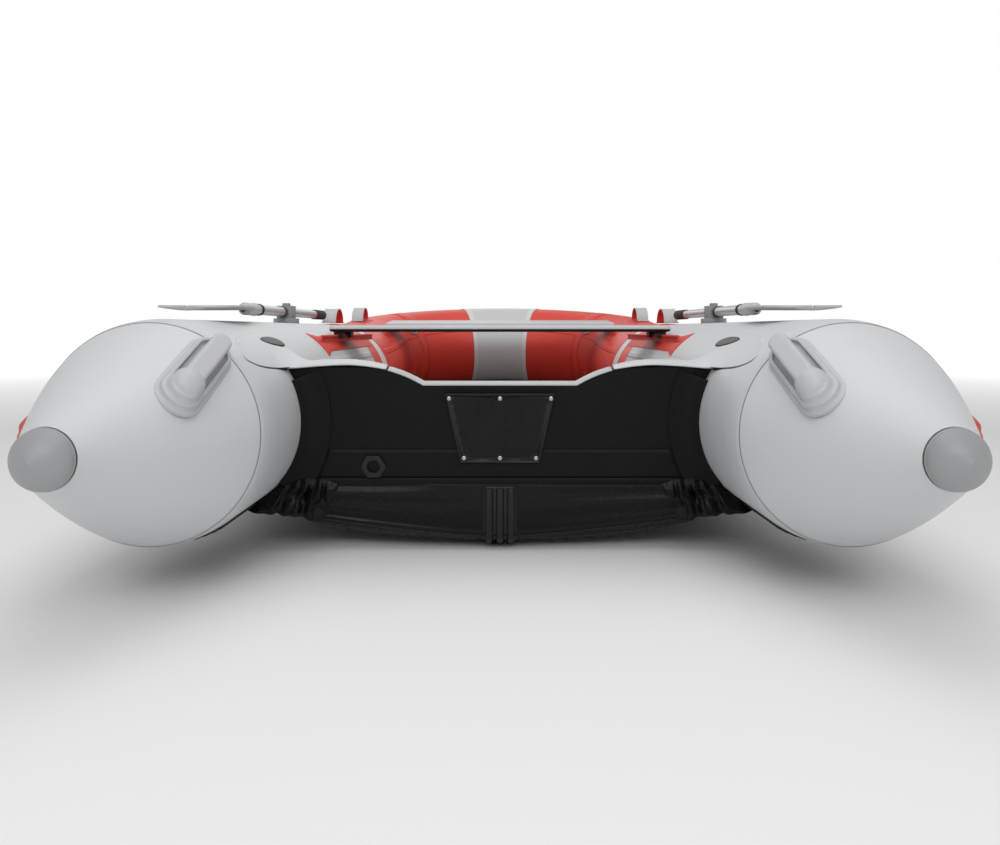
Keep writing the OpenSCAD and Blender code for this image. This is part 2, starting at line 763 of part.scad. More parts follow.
// Places a shape drawn with the oar's shaft along y and the pin at the origin
module at_rowlock() {
    translate([rowlock_x, rowlock_y, shaft_z]) children();
}
module pin_hole() {
    translate([0, 0, -collar_h]) cylinder(r = pin_r + run, h = 2 * collar_h);
}
grip_l = 125;
grip_r = shaft_r + 3;
socket_l = 70;
socket_r = shaft_r + 2.5;
blade_t = 8;
shaft_aft = -(oar_outboard - blade_l) - socket_l / 2;
shaft_fore = oar_inboard - 6;
module oar_shaft() {
    at_rowlock()
    difference() {
        translate([0, shaft_aft, 0])
        along_y()
        difference() {
            cylinder(r = shaft_r, h = shaft_fore - shaft_aft);
            translate([0, 0, -1])
            cylinder(r = shaft_r - shaft_wall, h = shaft_fore - shaft_aft + 2);
        }
        pin_hole();
    }
}
module oar_collar() {
    at_rowlock()
    difference() {
        translate([-collar_w / 2, -collar_l / 2, -collar_h / 2])
        cube([collar_w, collar_l, collar_h]);
        translate([0, -collar_l, 0])
        along_y()
        cylinder(r = shaft_r + run, h = 2 * collar_l);
        pin_hole();
    }
}
module oar_grip() {
    at_rowlock()
    translate([0, oar_inboard - grip_l, 0])
    along_y()
    difference() {
        cylinder(r = grip_r, h = grip_l);
        translate([0, 0, -1]) cylinder(r = shaft_r + run, h = grip_l - 5);
    }
}
// Blade outline: widest past the middle, narrow at the shaft
function blade_half(t) = blade_w / 2 * (0.16 + 0.84 * pow(sin(min(1, t * 1.5) * 90), 1.5))
    * sqrt(max(0, 1 - pow(max(0, (t - 0.8) / 0.2), 3)));
module oar_blade() {
    steps = 20;
    half = [for (i = [0:steps]) let (t = i / steps)
        [blade_half(t), -(oar_outboard - blade_l) - t * blade_l]];
    at_rowlock()
    difference() {
        union() {
            translate([0, 0, -blade_t / 2])
            linear_extrude(blade_t)
            polygon(concat(half, [for (i = [steps - 1:-1:0]) [-half[i][0], half[i][1]]]));
            translate([0, shaft_aft - 20, 0])
            along_y()
            cylinder(r = socket_r, h = socket_l + 20);
        }
        translate([0, shaft_aft - gap, 0])
        along_y()
        cylinder(r = shaft_r + run, h = 2 * socket_l);
    }
}
module port_oar_shaft() { color("#a9acae") oar_shaft(); }
module port_oar_blade() { color("#9a9c9e") oar_blade(); }
module port_oar_grip() { color("#1b1c1d") oar_grip(); }
module port_oar_collar() { color("#8f9194") oar_collar(); }
module starboard_oar_shaft() { color("#a9acae") mirrored() oar_shaft(); }
module starboard_oar_blade() { color("#9a9c9e") mirrored() oar_blade(); }
module starboard_oar_grip() { color("#1b1c1d") mirrored() oar_grip(); }
module starboard_oar_collar() { color("#8f9194") mirrored() oar_collar(); }

// ---------------------------------------------------------------- valves and lashing rings
// Stands a shape on the bow chamber, its z along the surface's normal
module stand_on(u, a, lift) {
    n = cos(a) * outward(u) + sin(a) * upward(u);
    translate(on_tube(u, tube_r + lift, a))
    rotate([0, acos(n[2]), atan2(n[1], n[0])])
    children();
}
bow_share = 1 - 2 * leg_share;
// How far a flat base of radius r stands off the bow's hollow inner bend
function bend_r(u) = let (a = 180 * (u - leg_share) / bow_share)
    pow(pow(tube_x * sin(a), 2) + pow(bow_sweep * cos(a), 2), 1.5) / (tube_x * bow_sweep);
function bend_lift(u, r) = gap + pow(r, 2) / (1.9 * (bend_r(u) - tube_r));
valve_u = leg_share + bow_share * 30 / 180;
valve_a = 141;
valve_flange_r = 27;
valve_flange_t = 5;
valve_lift = bend_lift(valve_u, valve_flange_r);
spigot_r = 13;
spigot_h = 9;
cap_wall = 3;
valve_cap_r = 21;
module valve() {
    stand_on(valve_u, valve_a, valve_lift)
    difference() {
        union() {
            cylinder(r = valve_flange_r, h = valve_flange_t);
            cylinder(r = spigot_r, h = valve_flange_t + spigot_h);
        }
        translate([0, 0, valve_flange_t]) cylinder(r = spigot_r - 4, h = spigot_h + 1);
    }
}
module valve_cap() {
    stand_on(valve_u, valve_a, valve_lift)
    translate([0, 0, valve_flange_t + gap])
    difference() {
        union() {
            cylinder(r = valve_cap_r, h = spigot_h + cap_wall);
            translate([-valve_cap_r * 0.7, -3, spigot_h + cap_wall - 1])
            cube([valve_cap_r * 1.4, 6, 6]);
        }
        translate([0, 0, -1]) cylinder(r = spigot_r + run, h = spigot_h + 1);
    }
}
module port_valve() { color("#c9cbcd") valve(); }
module port_valve_cap() { color("#d6d7d8") valve_cap(); }
module starboard_valve() { color("#c9cbcd") mirrored() valve(); }
module starboard_valve_cap() { color("#d6d7d8") mirrored() valve_cap(); }

ring_u = leg_share + bow_share * 20 / 180;
ring_a = 198;
ring_wire = 2.6;
ring_in = 19;                          // radius of the ring's bow, to the wire's middle
lashing_base_r = 30;
lashing_base_t = 3;
lashing_lift = bend_lift(ring_u, lashing_base_r);
lug_w = 20;
ring_off = lashing_base_t + 6;
// In this frame x points down the surface and y along the boat's side
module lashing_patch() {
    stand_on(ring_u, ring_a, lashing_lift)
    difference() {
        union() {
            cylinder(r = lashing_base_r, h = lashing_base_t);
            translate([-7, -lug_w / 2, 0]) cube([14, lug_w, ring_off + 5]);
        }
        translate([0, -lug_w, ring_off])
        along_y()
        cylinder(r = ring_wire + run, h = 2 * lug_w);
    }
}
module lashing_ring() {
    stand_on(ring_u, ring_a, lashing_lift)
    translate([0, 0, ring_off])
    union() {
        translate([0, -ring_in, 0]) along_y() cylinder(r = ring_wire, h = 2 * ring_in);
        translate([0, 0, 0])
        rotate([0, 0, -90])
        rotate_extrude(angle = 180)
        translate([ring_in, 0])
        circle(r = ring_wire);
        for (k = [-1, 1]) translate([0, k * ring_in, 0]) sphere(r = ring_wire);
    }
}
module lashing_patches() {
    color("#b8332a") lashing_patch();
    color("#b8332a") mirrored() lashing_patch();
}
module port_lashing_ring() { color("#c9cdd0") lashing_ring(); }
module starboard_lashing_ring() { color("#c9cdd0") mirrored() lashing_ring(); }

// ---------------------------------------------------------------- wear patches
wear_t = 6;
wear_from = 58;        // round the tube from inboard, downwards
wear_sweep = 52;
wear_l = skin_start_y - (seam_y + shoulder_len) - 8;
module wear_patch() {
    translate([-tube_x, 0, axis_z])
    along_y()
    rotate([0, 0, wear_from])
    rotate_extrude(angle = wear_sweep)
    translate([seat_r, seam_y + shoulder_len])
    square([wear_t, wear_l]);
}
module stern_wear_patches() {
    color("#161718") {
        wear_patch();
        mirrored() wear_patch();
    }
}

port_tube();
starboard_tube();
bow_tube();
port_cone();
starboard_cone();
port_cone_cap();
starboard_cone_cap();
bottom_skin();
keel_tube();
keel_strip();
transom_board();
transom_trim();
port_transom_flap();
starboard_transom_flap();
outer_motor_pad();
inner_motor_pad();
motor_pad_screws();
drain_flange();
drain_plug();
aft_floor_board();
mid_aft_floor_board();
mid_fore_floor_board();
fore_floor_board();
bow_board();
floor_joiners();
side_stringers();
port_aft_rail();
starboard_aft_rail();
port_fore_rail();
starboard_fore_rail();
aft_seat_plank();
aft_seat_clips();
fore_seat_plank();
fore_seat_clips();
rub_strake();
port_stern_handle();
starboard_stern_handle();
port_aft_strap();
port_fore_strap();
starboard_aft_strap();
starboard_fore_strap();
port_rowlock();
starboard_rowlock();
port_oar_shaft();
port_oar_blade();
port_oar_grip();
port_oar_collar();
starboard_oar_shaft();
starboard_oar_blade();
starboard_oar_grip();
starboard_oar_collar();
port_valve();
port_valve_cap();
starboard_valve();
starboard_valve_cap();
stern_wear_patches();
lashing_patches();
port_lashing_ring();
starboard_lashing_ring();
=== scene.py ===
from math import asin, atan, atan2, cos, exp, pi, radians, sin, sqrt

import bmesh
import bpy
from mathutils import Matrix, Vector, noise


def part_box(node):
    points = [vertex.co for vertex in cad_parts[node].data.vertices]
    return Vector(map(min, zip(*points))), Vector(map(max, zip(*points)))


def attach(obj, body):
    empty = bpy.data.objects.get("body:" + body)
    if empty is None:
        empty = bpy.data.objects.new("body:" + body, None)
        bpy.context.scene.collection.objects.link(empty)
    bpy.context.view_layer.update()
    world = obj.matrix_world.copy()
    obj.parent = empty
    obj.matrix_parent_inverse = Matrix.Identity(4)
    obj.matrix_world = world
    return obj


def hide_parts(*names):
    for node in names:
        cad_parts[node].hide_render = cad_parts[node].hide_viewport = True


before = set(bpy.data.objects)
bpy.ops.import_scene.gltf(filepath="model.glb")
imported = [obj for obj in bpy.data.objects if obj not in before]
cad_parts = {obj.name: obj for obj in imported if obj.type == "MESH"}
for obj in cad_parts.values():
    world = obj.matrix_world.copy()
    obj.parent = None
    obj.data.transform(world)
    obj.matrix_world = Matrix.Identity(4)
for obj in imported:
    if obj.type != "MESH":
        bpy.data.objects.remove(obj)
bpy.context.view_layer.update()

# ---------------------------------------------------------------- Studio
# A pale floor, a wide soft light overhead, a softer one from behind the stern, and a
# camera a metre behind the cone caps, a little under the tops of the tubes.
camera = bpy.data.objects.new("camera", bpy.data.cameras.new("camera"))
camera.location = (0, -2.68, 0.4845)
camera.rotation_euler = (radians(90), 0, 0)
camera.data.lens = 27.72
camera.data.shift_y = -0.0925
bpy.context.scene.collection.objects.link(camera)
bpy.context.scene.camera = camera
bpy.context.scene.view_settings.view_transform = "Standard"


def soft_light(name, place, aim, size, power):
    light = bpy.data.objects.new(name, bpy.data.lights.new(name, "AREA"))
    light.data.shape = "RECTANGLE"
    light.data.size, light.data.size_y = size
    light.data.energy = power
    light.location = place
    light.rotation_euler = (Vector(aim) - Vector(place)).to_track_quat("-Z", "Y").to_euler()
    bpy.context.scene.collection.objects.link(light)


soft_light("overhead", (0, -0.4, 3.4), (0, 0, 0), (2.6, 4.6), 44)
soft_light("stern_fill", (0, -4.4, 2.7), (0, 0.6, 0.3), (3.2, 1.6), 54)
soft_light("bow_fill", (-1.0, 4.6, 2.2), (0, 1.0, 0.3), (3.0, 1.6), 12)
world = bpy.data.worlds.new("studio")
world.use_nodes = True
world_tree = world.node_tree
backdrop = world_tree.nodes["Background"]
backdrop.inputs["Color"].default_value = (1, 1, 1, 1)
seen = world_tree.nodes.new("ShaderNodeLightPath")
level = world_tree.nodes.new("ShaderNodeMapRange")
level.inputs["To Min"].default_value = 0.48          # what lights the boat
level.inputs["To Max"].default_value = 1.0           # what the camera sees
world_tree.links.new(seen.outputs["Is Camera Ray"], level.inputs["Value"])
world_tree.links.new(level.outputs["Result"], backdrop.inputs["Strength"])
bpy.context.scene.world = world

floor_bm = bmesh.new()
bmesh.ops.create_grid(floor_bm, x_segments=1, y_segments=1, size=60)
floor_mesh = bpy.data.meshes.new("studio_floor")
floor_bm.to_mesh(floor_mesh)
floor_bm.free()
studio_floor = bpy.data.objects.new("studio_floor", floor_mesh)
studio_floor.location.z = -0.001
floor_paint = bpy.data.materials.new("floor_paint")
floor_paint.use_nodes = True
floor_tree = floor_paint.node_tree
floor_shader = floor_tree.nodes["Principled BSDF"]
floor_shader.inputs["Base Color"].default_value = (.88, .88, .88, 1)
floor_shader.inputs["Roughness"].default_value = 0.8
floor_shader.inputs["Emission Color"].default_value = (1, 1, 1, 1)
floor_place = floor_tree.nodes.new("ShaderNodeTexCoord")
floor_reach = floor_tree.nodes.new("ShaderNodeVectorMath")
floor_reach.operation = "LENGTH"
floor_fade = floor_tree.nodes.new("ShaderNodeMapRange")   # fades to white far from the boat
floor_fade.inputs["From Min"].default_value = 2.5
floor_fade.inputs["From Max"].default_value = 9.0
floor_fade.inputs["To Max"].default_value = 0.75
floor_tree.links.new(floor_place.outputs["Object"], floor_reach.inputs[0])
floor_tree.links.new(floor_reach.outputs["Value"], floor_fade.inputs["Value"])
floor_tree.links.new(floor_fade.outputs["Result"], floor_shader.inputs["Emission Strength"])
floor_mesh.materials.append(floor_paint)
bpy.context.scene.collection.objects.link(studio_floor)

# ---------------------------------------------------------------- Stern tubes and cones
# Two air tubes of coated polyester, glued up from sheets with lap seams. Each ends in a
# long cone that lifts a little towards its tip; the sheets lap where cone meets tube.
low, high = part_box("port_tube")
tube_r = (high.x - low.x) / 2
tube_x = -(low.x + high.x) / 2
axis_z = (low.z + high.z) / 2
seam_y, chamber_y = low.y, high.y
cone_end_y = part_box("port_cone")[0].y
cap_low, cap_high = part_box("port_cone_cap")
stern_y = cap_low.y
cap_r = (cap_high.x - cap_low.x) / 2
cap_lift = (cap_low.z + cap_high.z) / 2 - axis_z
seam_r = 0.98 * tube_r
shoulder = 0.054
red_from = 0.03                    # where the grey sheet ends and the red one laps it
bow_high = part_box("bow_tube")[1]
bow_rise = bow_high.z - axis_z - tube_r
bow_axis_y = bow_high.y - tube_r
bow_sweep = 0.48
bow_start_y = bow_axis_y - bow_sweep
leg_share = 0.22


def node(tree, kind, **sets):
    made = tree.nodes.new(kind)
    for key, value in sets.items():
        setattr(made, key, value)
    return made


def maths(tree, operation, a, b=0.0):
    made = node(tree, "ShaderNodeMath", operation=operation)
    for socket, value in zip(made.inputs, (a, b)):
        if isinstance(value, bpy.types.NodeSocket):
            tree.links.new(value, socket)
        else:
            socket.default_value = value
    return made.outputs[0]


def make_group(name, inputs, outputs):
    tree = bpy.data.node_groups.new(name, "ShaderNodeTree")
    for label, kind in inputs:
        tree.interface.new_socket(label, in_out="INPUT", socket_type="NodeSocket" + kind)
    for label, kind in outputs:
        tree.interface.new_socket(label, in_out="OUTPUT", socket_type="NodeSocket" + kind)
    return tree, node(tree, "NodeGroupInput").outputs, node(tree, "NodeGroupOutput").inputs


def make_mottle():
    """Slow changes of shade, faint scuffs and uneven gloss over a surface"""
    tree, given, out = make_group(
        "mottle", [("Colour", "Color"), ("Shade", "Color"), ("Size", "Float"),
                   ("Roughness", "Float"), ("Spread", "Float")],
        [("Colour", "Color"), ("Roughness", "Float"), ("Height", "Float")])
    place = node(tree, "ShaderNodeTexCoord").outputs["Object"]
    slow = node(tree, "ShaderNodeTexNoise")
    fine = node(tree, "ShaderNodeTexNoise")
    scuff = node(tree, "ShaderNodeTexNoise")
    for noise_node, scale, detail in ((slow, 1.0, 4), (fine, 14.0, 6), (scuff, 3.7, 9)):
        tree.links.new(place, noise_node.inputs["Vector"])
        tree.links.new(maths(tree, "MULTIPLY", given["Size"], scale), noise_node.inputs["Scale"])
        noise_node.inputs["Detail"].default_value = detail
    scuff.inputs["Distortion"].default_value = 1.6
    marks = maths(tree, "GREATER_THAN", scuff.outputs["Fac"], 0.66)
    share = maths(tree, "ADD", maths(tree, "MULTIPLY", slow.outputs["Fac"], 0.75),
                  maths(tree, "MULTIPLY", marks, 0.1))
    mix = node(tree, "ShaderNodeMix", data_type="RGBA")
    tree.links.new(share, mix.inputs["Factor"])
    tree.links.new(given["Colour"], mix.inputs[6])
    tree.links.new(given["Shade"], mix.inputs[7])
    tree.links.new(mix.outputs[2], out["Colour"])
    uneven = maths(tree, "MULTIPLY", maths(tree, "SUBTRACT", fine.outputs["Fac"], 0.5),
                   given["Spread"])
    tree.links.new(maths(tree, "ADD", given["Roughness"], uneven), out["Roughness"])
    tree.links.new(fine.outputs["Fac"], out["Height"])
    return tree


def make_weave():
    """Threads showing through a coating: over and under along both ways of the cloth"""
    tree, given, out = make_group("weave", [("Pitch", "Float")], [("Height", "Float")])
    place = node(tree, "ShaderNodeUVMap", uv_map="UVMap").outputs[0]
    split = node(tree, "ShaderNodeSeparateXYZ")
    tree.links.new(place, split.inputs[0])
    turn = maths(tree, "DIVIDE", pi, given["Pitch"])
    across = maths(tree, "SINE", maths(tree, "MULTIPLY", split.outputs[0], turn))
    along = maths(tree, "SINE", maths(tree, "MULTIPLY", split.outputs[1], turn))
    tree.links.new(maths(tree, "MULTIPLY", across, along), out["Height"])
    return tree


def make_ribs():
    """Fine straight ribs across X, Y or a slant, as on extrusions and moulded rubber"""
    tree, given, out = make_group(
        "ribs", [("Direction", "Vector"), ("Pitch", "Float")], [("Height", "Float")])
    place = node(tree, "ShaderNodeTexCoord").outputs["Object"]
    along = node(tree, "ShaderNodeVectorMath", operation="DOT_PRODUCT")
    tree.links.new(place, along.inputs[0])
    tree.links.new(given["Direction"], along.inputs[1])
    wave = maths(tree, "SINE", maths(tree, "DIVIDE", along.outputs["Value"],
                                     maths(tree, "MULTIPLY", given["Pitch"], 0.5 / pi)))
    tree.links.new(maths(tree, "MINIMUM", maths(tree, "MULTIPLY", wave, 2.5), 1.0), out["Height"])
    return tree


mottle_group, weave_group, ribs_group = make_mottle(), make_weave(), make_ribs()


def surface(name, colour, shade, rough, spread=0.1, size=3.0, weave=None, ribs=None,
            grain=0.00004, metallic=0.0, coat=0.0, specular=0.5):
    """A finish: two shades, gloss, and a weave (pitch, depth) or ribs (way, pitch, depth)"""
    made = bpy.data.materials.new(name)
    made.use_nodes = True
    tree = made.node_tree
    shader = tree.nodes["Principled BSDF"]
    shader.inputs["Metallic"].default_value = metallic
    shader.inputs["Coat Weight"].default_value = coat
    shader.inputs["Coat Roughness"].default_value = 0.12
    shader.inputs["Specular IOR Level"].default_value = specular
    mottle = node(tree, "ShaderNodeGroup", node_tree=mottle_group)
    for label, value in (("Colour", (*colour, 1)), ("Shade", (*shade, 1)), ("Size", size),
                         ("Roughness", rough), ("Spread", spread)):
        mottle.inputs[label].default_value = value
    tree.links.new(mottle.outputs["Colour"], shader.inputs["Base Color"])
    tree.links.new(mottle.outputs["Roughness"], shader.inputs["Roughness"])
    bump = node(tree, "ShaderNodeBump")
    bump.inputs["Distance"].default_value = grain
    tree.links.new(mottle.outputs["Height"], bump.inputs["Height"])
    if weave or ribs:
        relief = node(tree, "ShaderNodeGroup", node_tree=weave_group if weave else ribs_group)
        relief.inputs["Pitch"].default_value = (weave or ribs)[-2]
        if ribs:
            relief.inputs["Direction"].default_value = ribs[0]
        second = node(tree, "ShaderNodeBump")
        second.inputs["Distance"].default_value = (weave or ribs)[-1]
        tree.links.new(relief.outputs["Height"], second.inputs["Height"])
        tree.links.new(bump.outputs["Normal"], second.inputs["Normal"])
        bump = second
    tree.links.new(bump.outputs["Normal"], shader.inputs["Normal"])
    return made


grey_fabric = surface("grey_fabric", (.64, .65, .66), (.60, .61, .62), 0.42, weave=(.0012, .00006))
red_fabric = surface("red_fabric", (.80, .06, .038), (.72, .05, .032), 0.40, weave=(.0012, .00006))


def wrapped(cols, rows, place, cloth=(1.0, 1.0), inside=None, closed=False):
    """A grid laid on a surface. place(s, t) gives a point for shares 0 to 1 both ways,
    cloth is the sheet's real size, and inside is a point that its faces look away from"""
    bm = bmesh.new()
    bmesh.ops.create_grid(bm, x_segments=cols, y_segments=rows, size=0.5)
    uv = bm.loops.layers.uv.new("UVMap")
    for face in bm.faces:
        for loop in face.loops:
            share = loop.vert.co.xy + Vector((0.5, 0.5))
            loop[uv].uv = (share.x * cloth[0], share.y * cloth[1])
    for v in bm.verts:
        v.co = place(v.co.x + 0.5, v.co.y + 0.5)
    if closed:
        bmesh.ops.remove_doubles(bm, verts=bm.verts, dist=1e-6)
    bm.normal_update()
    if inside is not None:
        look = sum(f.normal.dot(f.calc_center_median() - inside(f.calc_center_median()))
                   for f in bm.faces)
        if look < 0:
            bmesh.ops.reverse_faces(bm, faces=bm.faces)
    return bm


def piece(name, bm, material, slot, body="hull", replaces=(), thick=0.0, rim=None, sharp=40):
    """Makes an object of a finished mesh. thick adds a wall outwards, rim is its underside"""
    mesh = bpy.data.meshes.new(name)
    bm.to_mesh(mesh)
    bm.free()
    mesh.materials.append(material)
    mesh.polygons.foreach_set("use_smooth", [True] * len(mesh.polygons))
    mesh.set_sharp_from_angle(angle=radians(sharp))
    made = bpy.data.objects.new(name, mesh)
    bpy.context.scene.collection.objects.link(made)
    if thick:
        wall = made.modifiers.new("wall", "SOLIDIFY")
        wall.thickness, wall.offset = thick, 1
        if rim is not None:
            mesh.materials.append(rim)
            wall.material_offset = 1
    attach(made, body)
    if replaces:
        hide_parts(*replaces)
    return made


def mirror_mesh(bm):
    """The starboard one of a port mesh"""
    twin = bm.copy()
    bmesh.ops.scale(twin, vec=(-1, 1, 1), verts=twin.verts)
    bmesh.ops.reverse_faces(twin, faces=twin.faces)
    return twin


def pair(name, bm, material, slot, replaces=(), bodies=None, **more):
    """The same piece on the port side, as drawn, and mirrored on the starboard side"""
    twin = mirror_mesh(bm)
    made = []
    for side, mesh in (("port_", bm), ("starboard_", twin)):
        body = side + bodies if bodies else "hull"
        made.append(piece(side + name, mesh, material, slot, body=body,
                          replaces=[side + n for n in replaces], **more))
    return made


def straight(y, r, a):
    """A point on the port tube's straight part: a is the angle from outboard, upwards"""
    return Vector((-tube_x - r * cos(a), y, axis_z + r * sin(a)))


def axis_point(p):
    """The middle of the port tube beside a point"""
    return Vector((-tube_x, p.y, axis_z))


def cone_radius(t):
    return seam_r - (seam_r - cap_r) * t ** 1.12


def cone_point(t, a, lift=0.0):
    """A point on the port cone, t from its seam to its cap"""
    r = cone_radius(t) + lift
    y = seam_y + t * (cone_end_y - seam_y)
    return Vector((-tube_x - r * cos(a), y, axis_z + cap_lift * t + r * sin(a)))


def cone_skin(s, t):
    lap = 0.0003 * (1 - min(1, s * 28))        # the tube's sheet laps the cone's edge
    return cone_point(s, 2 * pi * t, -lap)


def tube_skin(s, t):
    y = seam_y - 0.010 + s ** 1.7 * (red_from + 0.01 - seam_y + 0.010)
    if y < seam_y:
        return cone_point((seam_y - y) / (seam_y - cone_end_y), 2 * pi * t, 0.0006)
    k = min(1, (y - seam_y) / shoulder)
    r = tube_r - (tube_r - seam_r) * (1 - k) ** 2
    return straight(y, r + 0.0006, 2 * pi * t)


pair("cone_skin", wrapped(90, 128, cone_skin, (.36, 1.3), axis_point, closed=True),
     grey_fabric, "grey_tube_fabric", replaces=["cone"])
pair("tube_skin", wrapped(60, 128, tube_skin, (1.3, 1.3), axis_point, closed=True),
     grey_fabric, "grey_tube_fabric", replaces=["tube"])


# A thin dark line of glue shows where the tube's sheet ends on the cone
glue = surface("glue", (.10, .10, .10), (.13, .13, .13), 0.6)


def glue_line(s, t):
    at = (0.0100 + 0.0013 * s) / (seam_y - cone_end_y)
    return cone_point(at, 2 * pi * t, 0.0004)


pair("cone_glue_line", wrapped(2, 128, glue_line, (.002, 1.3), axis_point, closed=True),
     glue, "grey_tube_fabric")


def band(y0, width, lift):
    """Places a sheet all round the straight tube, from y0 forward"""
    return lambda s, t: straight(y0 + s * width, tube_r + lift, 2 * pi * t)


red_sleeve = band(red_from, chamber_y - red_from, 0.0012)
pair("red_sleeve", wrapped(12, 128, red_sleeve, (.27, 1.3), axis_point, closed=True),
     red_fabric, "red_tube_fabric")

# A pale band of the same cloth glued round the red part, ahead of the seat rail's middle
pale_fabric = surface("pale_fabric", (.74, .75, .76), (.70, .71, .72), 0.44,
                      weave=(.0012, .00006))
band_y, band_w = 0.172, 0.098
pair("pale_band", wrapped(6, 128, band(band_y, band_w, 0.0016), (.1, 1.3), axis_point,
                          closed=True),
     pale_fabric, "grey_tube_fabric", thick=0.0009)

# ---------------------------------------------------------------- Cone caps
# Moulded rubber thimbles glued over the cones' tips, with a thin lip where they start and
# a moulding point in the middle.
cap_rubber = surface("cap_rubber", (.33, .335, .34), (.28, .285, .29), 0.42, grain=.0001, size=9)


def cap_skin(s, t):
    nose = cap_high.y - stern_y
    lip = 0.0012 * (1 - abs(min(1, s * 12) - 0.5) * 2)
    a = min(1, max(0, (s - 0.12) / 0.86)) * pi / 2
    reach = 1 - cos(a)                                  # share of the nose's length
    r = (cap_r - 0.0008 + lip) * (1 - reach ** 1.75) ** 0.72
    y = cap_high.y - 0.008 * min(1, s / 0.12) - (nose - 0.0095) * reach
    if s > 0.97:
        r, y = 0.003 * (1 - s) / 0.03, stern_y + 0.0004
    return Vector((-tube_x - r * cos(2 * pi * t), y, axis_z + cap_lift + r * sin(2 * pi * t)))


def cap_middle(p):
    return Vector((-tube_x, cap_high.y, axis_z + cap_lift))


def cap_line(s, t):
    r = cap_r + 0.0007
    y = cap_high.y - 0.0002 + 0.0012 * s
    return Vector((-tube_x - r * cos(2 * pi * t), y, axis_z + cap_lift + r * sin(2 * pi * t)))


pair("cap_glue_line", wrapped(2, 96, cap_line, (.002, .28), cap_middle, closed=True), glue,
     "moulded_cap")
pair("cap", wrapped(60, 96, cap_skin, (.1, .28), cap_middle, closed=True), cap_rubber,
     "moulded_cap", replaces=["cone_cap"])

# ---------------------------------------------------------------- Bow
# The red front chamber: one tube bent round the bow, rising a little to its front, with a
# pale panel in the middle, edged with paler tape, and lap seams where its sheets meet.


def rise(y):
    return 0 if y <= chamber_y else bow_rise * ((y - chamber_y) / (bow_axis_y - chamber_y)) ** 2


def centre_line(u):
    """Axis of the front chamber, u from the port joint to the starboard one; below 0 is aft"""
    if u <= 0:
        return Vector((-tube_x, chamber_y + u, axis_z))
    if min(u, 1 - u) < leg_share:
        side = -1 if u < 0.5 else 1
        y = chamber_y + min(u, 1 - u) / leg_share * (bow_start_y - chamber_y)
        return Vector((side * tube_x, y, axis_z + rise(y)))
    a = pi * (u - leg_share) / (1 - 2 * leg_share)
    y = bow_start_y + bow_sweep * sin(a)
    return Vector((-tube_x * cos(a), y, axis_z + rise(y)))


def around(u, r, a):
    """A point r from the chamber's axis: a is the angle from outboard, upwards"""
    if u <= 0:
        return straight(chamber_y + u, r, a)
    ahead = (centre_line(min(1, u + .002)) - centre_line(u - .002)).normalized()
    if u >= 1:
        ahead = Vector((0, -1, 0))
    out = Vector((-ahead.y, ahead.x, 0)).normalized()
    return centre_line(u) + r * (cos(a) * out + sin(a) * ahead.cross(out))


def u_of_turn(degrees):
    """Where the bow's curve has turned this far from the port leg"""
    return leg_share + (1 - 2 * leg_share) * degrees / 180


def hull_middle(p):
    """The middle of the tubes beside a point"""
    y = min(p.y, bow_start_y)
    if p.y <= bow_start_y:
        return Vector((-tube_x if p.x < 0 else tube_x, y, axis_z + rise(y)))
    turn = atan2((p.y - bow_start_y) / bow_sweep, -p.x / tube_x)
    return centre_line(u_of_turn(turn * 180 / pi))


def on_chamber(u0, u1, a0, a1, lift):
    """Places a sheet on the tube between two shares and two angles in degrees"""
    return lambda s, t: around(u0 + s * (u1 - u0), tube_r + lift, radians(a0 + t * (a1 - a0)))


piece("bow_skin", wrapped(220, 96, on_chamber(0, 1, 0, 360, 0.0012), (4, 1.3), hull_middle,
                          closed=True),
      red_fabric, "red_tube_fabric", replaces=["bow_tube"])


def panel_turn(a):
    """Half the panel's angle: narrow on the inside of the bow, wide outside"""
    return 17.2 + 1.9 * cos(a)


def bow_panel(edge_in, edge_out, side, lift):
    def place(s, t):
        a = 2 * pi * t
        half = panel_turn(a)
        turn = 90 + side * (edge_in + s * (edge_out - edge_in)) * half
        return around(u_of_turn(turn), tube_r + lift, a)
    return place


piece("bow_panel", wrapped(40, 96, bow_panel(-1, 1, 1, 0.0018), (.4, 1.3), hull_middle,
                           closed=True),
      grey_fabric, "grey_tube_fabric", thick=0.0008)
for name, side in (("port_panel_edge", -1), ("starboard_panel_edge", 1)):
    piece(name, wrapped(6, 96, bow_panel(0.86, 1.04, side, 0.0028), (.03, 1.3), hull_middle,
                        closed=True),
          pale_fabric, "grey_tube_fabric", thick=0.0008)


def strip_on(name, u0, u1, a, width, material, slot, lift=0.0018, both=True, cols=60):
    """A tape along the tube, its middle at angle a in degrees"""
    half = width / tube_r / 2 * 180 / pi
    bm = wrapped(cols, 4, on_chamber(u0, u1, a - half, a + half, lift), (2, width), hull_middle)
    if both:
        return pair(name, bm, material, slot, thick=0.0004)
    return piece(name, bm, material, slot, thick=0.0004)


# Lap seams: one along the inside of the tubes, one under them, and rings round the bow
seam_angle = 150
transom_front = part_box("transom_board")[1].y - 0.02
strip_on("inner_seam", transom_front - chamber_y, red_from - chamber_y, seam_angle, .022,
         grey_fabric, "grey_tube_fabric", lift=0.0004, cols=40)
strip_on("inner_red_seam", 0.0, u_of_turn(66), seam_angle, .022, red_fabric,
         "red_tube_fabric", lift=0.0012)
for name, turn in (("leg_seam", None), ("bend_seam", 36)):
    u = 0.0 if turn is None else u_of_turn(turn)
    pair(name, wrapped(3, 128, on_chamber(u - .012, u + .012, 0, 360, 0.0014), (.03, 1.3),
                       hull_middle, closed=True),
         red_fabric, "red_tube_fabric", thick=0.0006)

